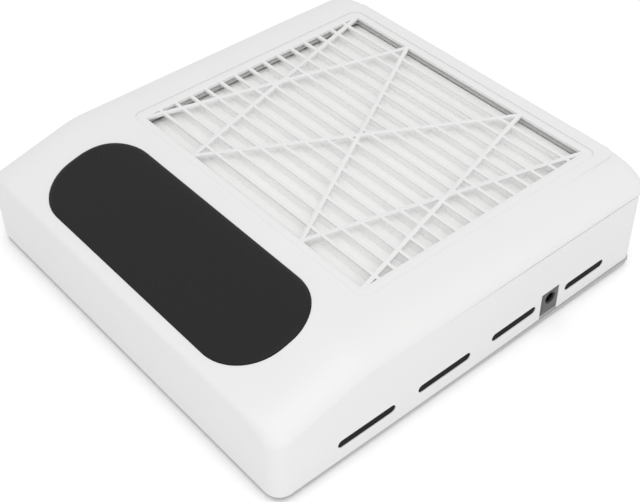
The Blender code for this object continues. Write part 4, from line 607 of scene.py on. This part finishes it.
dish, dish_radius, cap_round, flange_thickness = 0.0004, 0.0040, 0.0006, 0.0012
face, flange_back, flange_radius = button_low[0], button_high[0], (button_high[1] - button_low[1]) / 2
flange_front = flange_back - flange_thickness
dished = [(r, face + dish * (1 - (r / dish_radius) ** 2)) for r in np.linspace(0, dish_radius, 9)]
shoulder = arc((button_radius - cap_round, face + cap_round), cap_round, -90, 0)
flange = [(button_radius, flange_front), (flange_radius, flange_front), (flange_radius, flange_back)]
cap_profile = dished + shoulder + flange + [(0, flange_back)]
cap = turned("button_cap", cap_profile, (socket_y, button_z), 64, 0)
dress(cap, white_abs, "white_abs", "pressed_button", "power_button")
repaint(black_nylon, "power_switch", "switch_plunger")

# ------------------------------------------------------------------ motor
# An outer-rotor motor on a zinc-plated plate: a stack of dark steel laminations with copper coils,
# two bearings, and a pressed steel cup lined with ferrite that turns with the shaft.

zinc = Finish("zinc_steel", (0.62, 0.62, 0.64), 0.32, 1.0)
brushed = zinc.noise(0.0006, 3.0, zinc.stretched((1.0, 12.0, 1.0)))
spangle = zinc.noise(0.006, 2.0)
zinc.feed("Roughness", brushed * 0.14 + 0.24)
zinc.feed("Base Color", zinc.blend(spangle, (0.56, 0.56, 0.58), (0.68, 0.68, 0.69)))
zinc.relief(brushed, 0.000004)
repaint(zinc.material, "motor_plate", "rotor_cup", "motor_shaft")
repaint(zinc.material, "impeller_nut", "lower_bearing", "upper_bearing")

laminated = Finish("core_steel", (0.22, 0.22, 0.24), 0.45, 1.0)
sheet_pitch, wire_pitch = 0.0005, 0.0006
sheets = (laminated.z * (math.tau / sheet_pitch)).sine()
laminated.feed("Roughness", laminated.noise(0.002) * 0.2 + 0.38)
laminated.feed("Base Color", laminated.blend(sheets * 0.5 + 0.5, (0.10, 0.10, 0.11), (0.27, 0.27, 0.29)))
repaint(laminated.relief(sheets, 0.00006), "stator_core", "shaft_clip")

copper = Finish("enamelled_copper", (0.55, 0.22, 0.08), 0.3, 1.0)
turns = (copper.z * (math.tau / wire_pitch)).sine() * 0.5 + 0.5
copper.feed("Base Color", copper.blend(turns, (0.20, 0.06, 0.02), (0.62, 0.26, 0.10)))
copper.feed("Roughness", copper.noise(0.001) * 0.2 + 0.22)
repaint(copper.relief(turns, 0.0002), "stator_windings")

ferrite = Finish("magnet_ferrite", (0.05, 0.05, 0.05), 0.6)
sinter = ferrite.noise(0.0005, 4.0)
ferrite.feed("Base Color", ferrite.blend(sinter, (0.035, 0.035, 0.036), (0.065, 0.065, 0.067)))
repaint(ferrite.relief(sinter, 0.00002), "magnet_ring")

# ------------------------------------------------------------------ impeller, guard and fan deck
# The wheel of swept blades, its spoked guard and the partition over it are moulded in black nylon.
# The deck is screwed to posts of the base plate, and the guard sits over its flared inlet.

repaint(black_nylon, "impeller", "fan_guard", "fan_deck")

# ------------------------------------------------------------------ leads
# Two pairs of stranded wire in PVC sleeves, red to the motor and black to the switch,
# laid along the base plate between the plugs and the parts that they feed.


def sleeved(name, colour, shade):
    """Soft PVC: its colour drifts, and dust dulls it in patches."""
    finish = Finish(name, colour, 0.45)
    dust = finish.noise(0.004, 3.0)
    finish.feed("Base Color", finish.blend(dust, shade, colour))
    finish.feed("Roughness", dust * 0.2 + 0.35)
    return finish.relief(finish.noise(0.0007), 0.00002)


repaint(sleeved("red_pvc", (0.48, 0.03, 0.02), (0.38, 0.02, 0.02)), "motor_lead")
repaint(sleeved("black_pvc", (0.022, 0.022, 0.022), (0.015, 0.015, 0.015)), "switch_lead")

# ------------------------------------------------------------------ filter well
# The white inner frame under the deck. Its ledge carries the cartridge and leads the air to the fan.

repaint(white_abs, "filter_well")

# ------------------------------------------------------------------ filter cartridge: tray
# The lower half of the cartridge: a white moulded ring with thin bars that hold the paper up.

tray_low, tray_high = box_of("filter_tray")
tray_ring, tray_bar, bar_round, bar_sunk = 0.0075, 0.003, 0.0004, 0.0001
cross_bars, long_bars, inner_corner = 6, 3, 0.0008


def frame_outline(inset_x, inset_y, radius, steps=8):
    """The cartridge's outline drawn in by an inset on its sides and another on its ends."""
    across, along = cartridge_width - 2 * inset_x, cartridge_depth - 2 * inset_y
    return rounded_rectangle(across, along, radius, cartridge_y, steps)


def bar(start, end, breadth, low, high, round_over):
    """A bar along a straight line: a flat foot, upright sides and a top with rounded edges."""
    start, end = np.array(start), np.array(end)
    along = (end - start) / np.linalg.norm(end - start)
    across = np.array([-along[1], along[0]])
    right = arc((breadth / 2 - round_over, high - round_over), round_over, 0, 90, 4)
    half = [(breadth / 2, low)] + right
    outline = np.array(half + [(-x, z) for x, z in reversed(half)])
    ends = []
    for place in (start, end):
        plan = place + outline[:, :1] * across
        ends.append(np.column_stack([plan, outline[:, 1]]))
    return skin("bar", np.stack(ends))


mid_round = round_share * bar_round
insets = [0, 0, mid_round, bar_round]
insets += [tray_ring - inset for inset in reversed(insets)]
levels = [tray_low[2], tray_high[2] - bar_round, tray_high[2] - mid_round, tray_high[2]]
levels += levels[::-1]
outlines = [frame_outline(inset, inset, max(cartridge_corner - inset, inner_corner)) for inset in insets]
tray = stacked("filter_tray_moulding", outlines, levels, round_rows=True)
half_x, half_y = cartridge_width / 2 - tray_ring, cartridge_depth / 2 - tray_ring
bars = []
for share in np.linspace(-1, 1, cross_bars + 2)[1:-1]:
    y = cartridge_y + share * half_y
    ends = ((-half_x - tray_bar, y), (half_x + tray_bar, y))
    bars.append(bar(*ends, tray_bar, tray_low[2] + bar_sunk, tray_high[2] - bar_sunk, bar_round))
for share in np.linspace(-1, 1, long_bars + 2)[1:-1]:
    x = share * half_x
    ends = ((x, cartridge_y - half_y - tray_bar), (x, cartridge_y + half_y + tray_bar))
    bars.append(bar(*ends, tray_bar, tray_low[2] + 2 * bar_sunk, tray_high[2] - 2 * bar_sunk, bar_round))
shape_with(tray, "UNION", *bars)
dress(tidy(tray), white_abs, "white_abs", "filter_cartridge", "filter_tray")

# ------------------------------------------------------------------ filter cartridge: pleated paper
# One sheet of white filter paper folded thirty times from side to side, with tight valleys
# and full crowns, glued along its edges into the frame.

pleat_low, pleat_high = box_of("filter_pleats")
folds, steps_per_fold, fold_power, paper_thickness = 30, 14, 16, 0.0004
crown_gap, waver_size, waver_turns, waver_phase = 1.5 * paper_thickness, 0.00015, 40, 1.7
paper = Finish("filter_paper", (0.91, 0.91, 0.90), 0.9, Specular_IOR_Level=0.2)
fibres = paper.noise(0.0009, 5.0, paper.stretched((1.0, 0.35, 1.0)))
paper.feed("Base Color", paper.blend(fibres, (0.88, 0.88, 0.87), (0.93, 0.93, 0.925)))
paper.relief(fibres, 0.00005)


def pleats(columns=28):
    """Height over each fold is the depth times the 16th root of 1 less the 16th power of 2u - 1.

    Each fold wavers sideways along its length by a sine, and its crown sinks by half as much.
    """
    share = (1 - np.cos(np.linspace(0, math.pi, steps_per_fold + 1)[:-1])) / 2
    along = (np.arange(folds)[:, None] + share).ravel()
    along = np.append(along, folds)
    u = np.append(np.tile(share, folds), 0.0)
    lift = (1 - np.abs(2 * u - 1) ** fold_power) ** (1 / fold_power)
    low, high = pleat_low + paper_thickness, pleat_high - crown_gap
    x = np.linspace(low[0], high[0], columns)
    waver = waver_size * np.sin(waver_turns * x[None, :] + waver_phase * np.floor(along)[:, None])
    y = low[1] + (high[1] - low[1]) * (along / folds)[:, None] + waver
    z = low[2] + (high[2] - low[2]) * lift[:, None] - 0.5 * np.abs(waver) * lift[:, None]
    return np.stack([np.broadcast_to(x, y.shape), np.clip(y, low[1], high[1]), z], axis=-1)


grid = pleats()
order = np.arange(grid[..., 0].size).reshape(grid.shape[:2])
folded = tidy(faced("pleated_paper", grid, order), 60)
thick = folded.modifiers.new("thickness", "SOLIDIFY")
thick.thickness, thick.offset = paper_thickness, 0.0
dress(folded, paper.material, "filter_paper", "filter_cartridge", "filter_pleats")

# ------------------------------------------------------------------ filter cartridge: foam strip
# A ring of pale grey open-cell foam, stamped from sheet and glued under the rim, that presses on the
# paper. Its upper part, where it meets the rim, is painted darker as shade under the rim.

strip_low, strip_high = box_of("filter_gasket")
skirt_wall, rim_side, rim_end = 0.0018, 0.0064, 0.0051
foam = Finish("pale_foam", (0.70, 0.70, 0.69), 0.95, Specular_IOR_Level=0.15)
pore_size = 0.0007
pores = foam.cells(pore_size)
# The colour darkens towards the top of the strip: painted shade under the rim, laid over the pores'
# pattern.
height_share = (foam.z - strip_low[2]) * (1 / (strip_high[2] - strip_low[2]))
shade = pores * 0.5 + (1 - height_share) * 0.6
foam.feed("Base Color", foam.blend(shade, (0.24, 0.24, 0.24), (0.74, 0.74, 0.73)))
foam.relief(pores, 0.00025)
outer_inset, bulge = skirt_wall + seat_gap, 0.0004
strip_corner = 0.0010
outer = (outer_inset, outer_inset, cartridge_corner - outer_inset)
inner = (rim_side, rim_end, strip_corner)
drawn_back = (rim_side - bulge, rim_end - bulge, strip_corner)
insets = [outer, outer, drawn_back, inner, inner, drawn_back]
low, high = strip_low[2], strip_high[2]
levels = [low, high, high, high - 2 * bulge, low + 2 * bulge, low]
outlines = [frame_outline(*inset) for inset in insets]
strip = tidy(stacked("foam_strip", outlines, levels, round_rows=True), 50)
dress(strip, foam.material, "pale_foam", "filter_cartridge", "filter_gasket")

# ------------------------------------------------------------------ filter cartridge: grille
# The upper half of the cartridge in white ABS: a rim with a skirt, fourteen straight ribs,
# and three pairs of crossed bars, all moulded in one piece with soft edges.

rim_top, skirt_bottom = cartridge_high[2], cartridge_low[2]
grille_thickness, rib, diagonal, rib_round, rim_round = 0.002, 0.0021, 0.0027, 0.0003, 0.00025
ribs, rib_foot, rib_drop = 14, 0.0002, 0.00012
diagonal_foot, diagonal_drop, crossing_step = 0.0003, 0.00006, 0.00005
grille_low = rim_top - grille_thickness
mid_round = round_share * rim_round
sides = [(0, 0), (0, 0), (mid_round, mid_round), (rim_round, rim_round)]
levels = [skirt_bottom, rim_top - rim_round, rim_top - mid_round, rim_top]
for share, drop in ((-1, 0.0), (-round_share, round_share), (0, 1.0)):
    sides.append((rim_side + share * rib_round, rim_end + share * rib_round))
    levels.append(rim_top - drop * rib_round)
sides += [(rim_side, rim_end), (skirt_wall, skirt_wall), (skirt_wall, skirt_wall)]
levels += [grille_low, grille_low, skirt_bottom]
radii = [cartridge_corner] * 2 + [cartridge_corner - rim_round] * 2 + [inner_corner] * 4
radii += [cartridge_corner - skirt_wall] * 2
outlines = [frame_outline(*side, radius) for side, radius in zip(sides, radii)]
grille = stacked("filter_grille", outlines, levels, round_rows=True)
field_x, field_y = cartridge_width / 2 - rim_side, cartridge_depth / 2 - rim_end
bars = []
for share in np.linspace(-1, 1, ribs + 2)[1:-1]:
    y = cartridge_y + share * field_y
    ends = ((-field_x - rib, y), (field_x + rib, y))
    bars.append(bar(*ends, rib, grille_low + rib_foot, rim_top - rib_drop, rib_round))
crossing_shares = ((-1, -0.5), (-0.5, 0.5), (0.5, 1))
for left, right in crossing_shares:
    for first, second in ((left, right), (right, left)):
        start = np.array([first * field_x, cartridge_y - field_y])
        end = np.array([second * field_x, cartridge_y + field_y])
        past = (end - start) / np.linalg.norm(end - start) * diagonal
        ends = (start - past, end + past)
        step = crossing_step * (first > second)
        foot, crown = grille_low + diagonal_foot + step, rim_top - diagonal_drop - step
        bars.append(bar(*ends, diagonal, foot, crown, rib_round))
shape_with(grille, "UNION", *bars)
dress(tidy(grille), white_abs, "white_abs", "filter_cartridge", "filter_frame")

# ------------------------------------------------------------------ hand rest
# A long round-cornered pad of soft black leather-grained foam, set in a shallow recess of the slope
# and held there by adhesive. Its edge is pressed thin and its middle is softly crowned.

soft_pad = Finish("soft_black_pad", (0.014, 0.014, 0.015), 0.6, Specular_IOR_Level=0.2)
pebble_size, crease_size = 0.0011, 0.0006
pebbles = soft_pad.cells(pebble_size, "SMOOTH_F1")
creases = soft_pad.noise(crease_size, 3.0)
soft_pad.feed("Roughness", pebbles * 0.15 + 0.55)
soft_pad.feed("Base Color", soft_pad.blend(creases, (0.011, 0.011, 0.012), (0.018, 0.018, 0.019)))
soft_pad.relief(1 - pebbles + creases * 0.5, 0.00007)

pad_edge, pad_crown, pad_round = 0.0004, 0.0014, 0.003
pad_rings = (0.006, 0.012, 0.019, 0.026)
rounding = pad_round * (1 - np.cos(np.radians(np.linspace(0, 90, 9))))
inward = np.concatenate([[0.0, 0.0], rounding, pad_rings, [pad_breadth / 2]])
lifts = pad_edge + (pad_crown - pad_edge) * np.sin(np.radians(90) * np.clip(inward / pad_round, 0, 1))
lifts[0] = seat_gap - pad_recess
rings = []
for inset, lift in [(pad_breadth / 2, lifts[0]), *zip(inward, lifts)]:
    x, along = pad_outline(-inset)
    y, z = on_slope(along, lift)
    rings.append(np.stack([x, y, z], axis=1))
pad = tidy(skin("hand_rest", np.stack(rings), caps=False), 50)
dress(pad, soft_pad.material, "soft_black_pad", "case", "hand_rest_pad")

# ------------------------------------------------------------------ screws
# Zinc-plated self-tapping screws with pan heads and cross recesses: six hold the base plate from
# below, and the others hold the fan deck, the guard, the motor plate and the control board.


pitch, thread_root, thread_rows, screw_columns = 0.0008, 0.72, 60, 64
crown_rows, crown_share, crown_drop, head_edge = 15, 0.97, 0.45, 0.3
slit_share, slit_slope, arm_share, arm_slope, cross_depth = 0.16, 0.5, 0.58, 0.3, 0.55


def cross_screw(name, heads_up, shank_radius, head_height):
    """A turned head with a cross sunk in its top, over a shank whose radius saws once in each pitch.

    The dome falls by the fourth power of the share of its radius. The cross is deepest where the
    smaller of a point's two offsets is within the slit and the larger is within the arm.
    """
    low, high = box_of(name)
    centre, head_radius, length = (low + high)[:2] / 2, (high[0] - low[0]) / 2, high[2] - low[2]
    circle = np.linspace(0, math.tau, screw_columns, endpoint=False)
    crown = np.linspace(0, 1, crown_rows)
    dome = head_height * (1 - crown_drop * crown**4)
    rim = [(1.0, head_edge), (1.0, 0.0), (shank_radius / head_radius, 0.0)]
    radius = np.concatenate([crown * head_radius * crown_share, [r * head_radius for r, z in rim]])
    height = np.concatenate([dome, [z * head_height for r, z in rim]])
    reach = np.minimum(np.abs(np.cos(circle)), np.abs(np.sin(circle))) * radius[:, None]
    far = np.maximum(np.abs(np.cos(circle)), np.abs(np.sin(circle))) * radius[:, None]
    slit, arm = slit_share * head_radius, arm_share * head_radius
    cross = soft_step((slit - reach) / (slit_slope * slit)) * soft_step((arm - far) / (arm_slope * arm))
    on_crown = (np.arange(len(radius)) < crown_rows)[:, None]
    head_z = height[:, None] - cross_depth * head_height * cross * on_crown
    depth_down = np.linspace(0, length - head_height, thread_rows)[1:]
    saw = np.abs((depth_down[:, None] / pitch - circle / math.tau) % 1.0 - 0.5) * 2
    taper = np.clip((length - head_height - depth_down) / (2 * shank_radius), 0.0, 1.0)[:, None]
    thread = shank_radius * (thread_root + (1 - thread_root) * saw) * taper
    radius = np.vstack([np.broadcast_to(radius[:, None], head_z.shape), thread])
    z = np.vstack([head_z, np.broadcast_to(-depth_down[:, None], saw.shape)])
    z = high[2] - head_height + z if heads_up else low[2] + head_height - z
    x, y = centre[0] + radius * np.cos(circle), centre[1] + radius * np.sin(circle)
    screw = tidy(skin(name + "_turned", np.stack([x, y, z], axis=-1)), 40)
    return dress(screw, zinc.material, "zinc_steel", "case", name)


for group, count, heads_up, shank_radius, head_height in (
    ("case_screw", 6, False, 0.0013, 0.0016),
    ("fan_deck_screw", 4, True, 0.0012, 0.0014),
    ("guard_screw", 3, True, 0.0010, 0.0010),
    ("motor_screw", 3, True, 0.0010, 0.0010),
    ("board_screw", 3, True, 0.0010, 0.0010),
):
    for number in range(1, count + 1):
        cross_screw(f"{group}_{number}", heads_up, shank_radius, head_height)

# ------------------------------------------------------------------ rubber feet
# Four round feet of black rubber, moulded with a soft edge and a shallow hollow underneath,
# pressed into pockets of the base plate.

rubber = Finish("black_rubber", (0.022, 0.022, 0.022), 0.8, Specular_IOR_Level=0.3)
bloom = rubber.noise(0.003, 3.0)
rubber.feed("Base Color", rubber.blend(bloom, (0.018, 0.018, 0.018), (0.028, 0.028, 0.028)))
rubber.relief(rubber.noise(0.0003), 0.00001)
soft, hollow, hollow_share, sole_share = 0.0008, 0.0003, 0.5, 0.6
for number in range(1, 5):
    name = f"rubber_foot_{number}"
    low, high = box_of(name)
    centre, foot_radius = (low + high)[:2] / 2, (high[0] - low[0]) / 2
    sole = [(0.0, hollow), (hollow_share * foot_radius, hollow), (sole_share * foot_radius, 0.0)]
    top = [(foot_radius, high[2]), (0.0, high[2])]
    profile = sole + arc((foot_radius - soft, soft), soft, -90, 0) + top
    foot = turned(f"foot_{number}", profile, centre, 56)
    dress(foot, rubber.material, "black_rubber", "case", name)

# ------------------------------------------------------------------ floor, lights and camera
# A pale table top with soft daylight from all round, a large soft lamp above and a small one low at
# the front right corner.

floor = bpy.data.meshes.new("floor")
reach = 6.0
corners = [(-reach, -reach, 0), (reach, -reach, 0), (reach, reach, 0), (-reach, reach, 0)]
floor.from_pydata(corners, [], [(0, 1, 2, 3)])
table = shown("floor", floor)
paint = Finish("floor_white", (0.92, 0.92, 0.92), 0.9)
seen = paint.node("LightPath").outputs["Is Camera Ray"]
floor_glow = 0.16
paint.feed("Emission Strength", floor_glow)
paint.feed("Emission Color", paint.blend(seen, (0, 0, 0), (1, 1, 1)))
floor.materials.append(paint.material)

world = bpy.data.worlds.new("studio")
bpy.context.scene.world = world
world.use_nodes = True
daylight, seen_daylight = 0.86, 1.0
tree = world.node_tree
tree.nodes.clear()
path = tree.nodes.new("ShaderNodeLightPath")
fill = tree.nodes.new("ShaderNodeBackground")
fill.inputs["Strength"].default_value = daylight
backdrop = tree.nodes.new("ShaderNodeBackground")
backdrop.inputs["Strength"].default_value = seen_daylight
for shader in (fill, backdrop):
    shader.inputs["Color"].default_value = (1, 1, 1, 1)
either = tree.nodes.new("ShaderNodeMixShader")
out = tree.nodes.new("ShaderNodeOutputWorld")
tree.links.new(path.outputs["Is Camera Ray"], either.inputs[0])
tree.links.new(fill.outputs[0], either.inputs[1])
tree.links.new(backdrop.outputs[0], either.inputs[2])
tree.links.new(either.outputs[0], out.inputs[0])

for name, size, power, place in (
    ("key", 0.9, 2.7, (0.45, -0.25, 1.15)),
    ("side", 0.6, 0.5, (0.75, -0.45, 0.30)),
):
    lamp_data = bpy.data.lights.new(name, "AREA")
    lamp_data.shape, lamp_data.size, lamp_data.energy = "DISK", size, power
    lamp = shown(name, lamp_data)
    lamp.location, lamp.visible_camera = place, False
    lamp.rotation_euler = (-Vector(place)).to_track_quat("-Z", "Y").to_euler()

camera_place = (0.41132, -0.33681, 0.48517)
azimuth, elevation, roll = math.radians(50.21), math.radians(42.57), math.radians(-0.94)
level = math.cos(elevation)
back = np.array([math.sin(azimuth) * level, -math.cos(azimuth) * level, math.sin(elevation)])
right = np.array([math.cos(azimuth), math.sin(azimuth), 0.0])
up = np.cross(back, right)
tilted_right = math.cos(roll) * right + math.sin(roll) * up
tilted_up = math.cos(roll) * up - math.sin(roll) * right
matrix = np.eye(4)
matrix[:3] = np.stack([tilted_right, tilted_up, back, camera_place], axis=1)
camera_data = bpy.data.cameras.new("photo")
camera_data.sensor_width, camera_data.lens = 36.0, 68.0
camera = shown("photo", camera_data)
camera.matrix_world = Matrix(matrix.tolist())
bpy.context.scene.camera = camera
bpy.context.scene.view_settings.view_transform = "Standard"
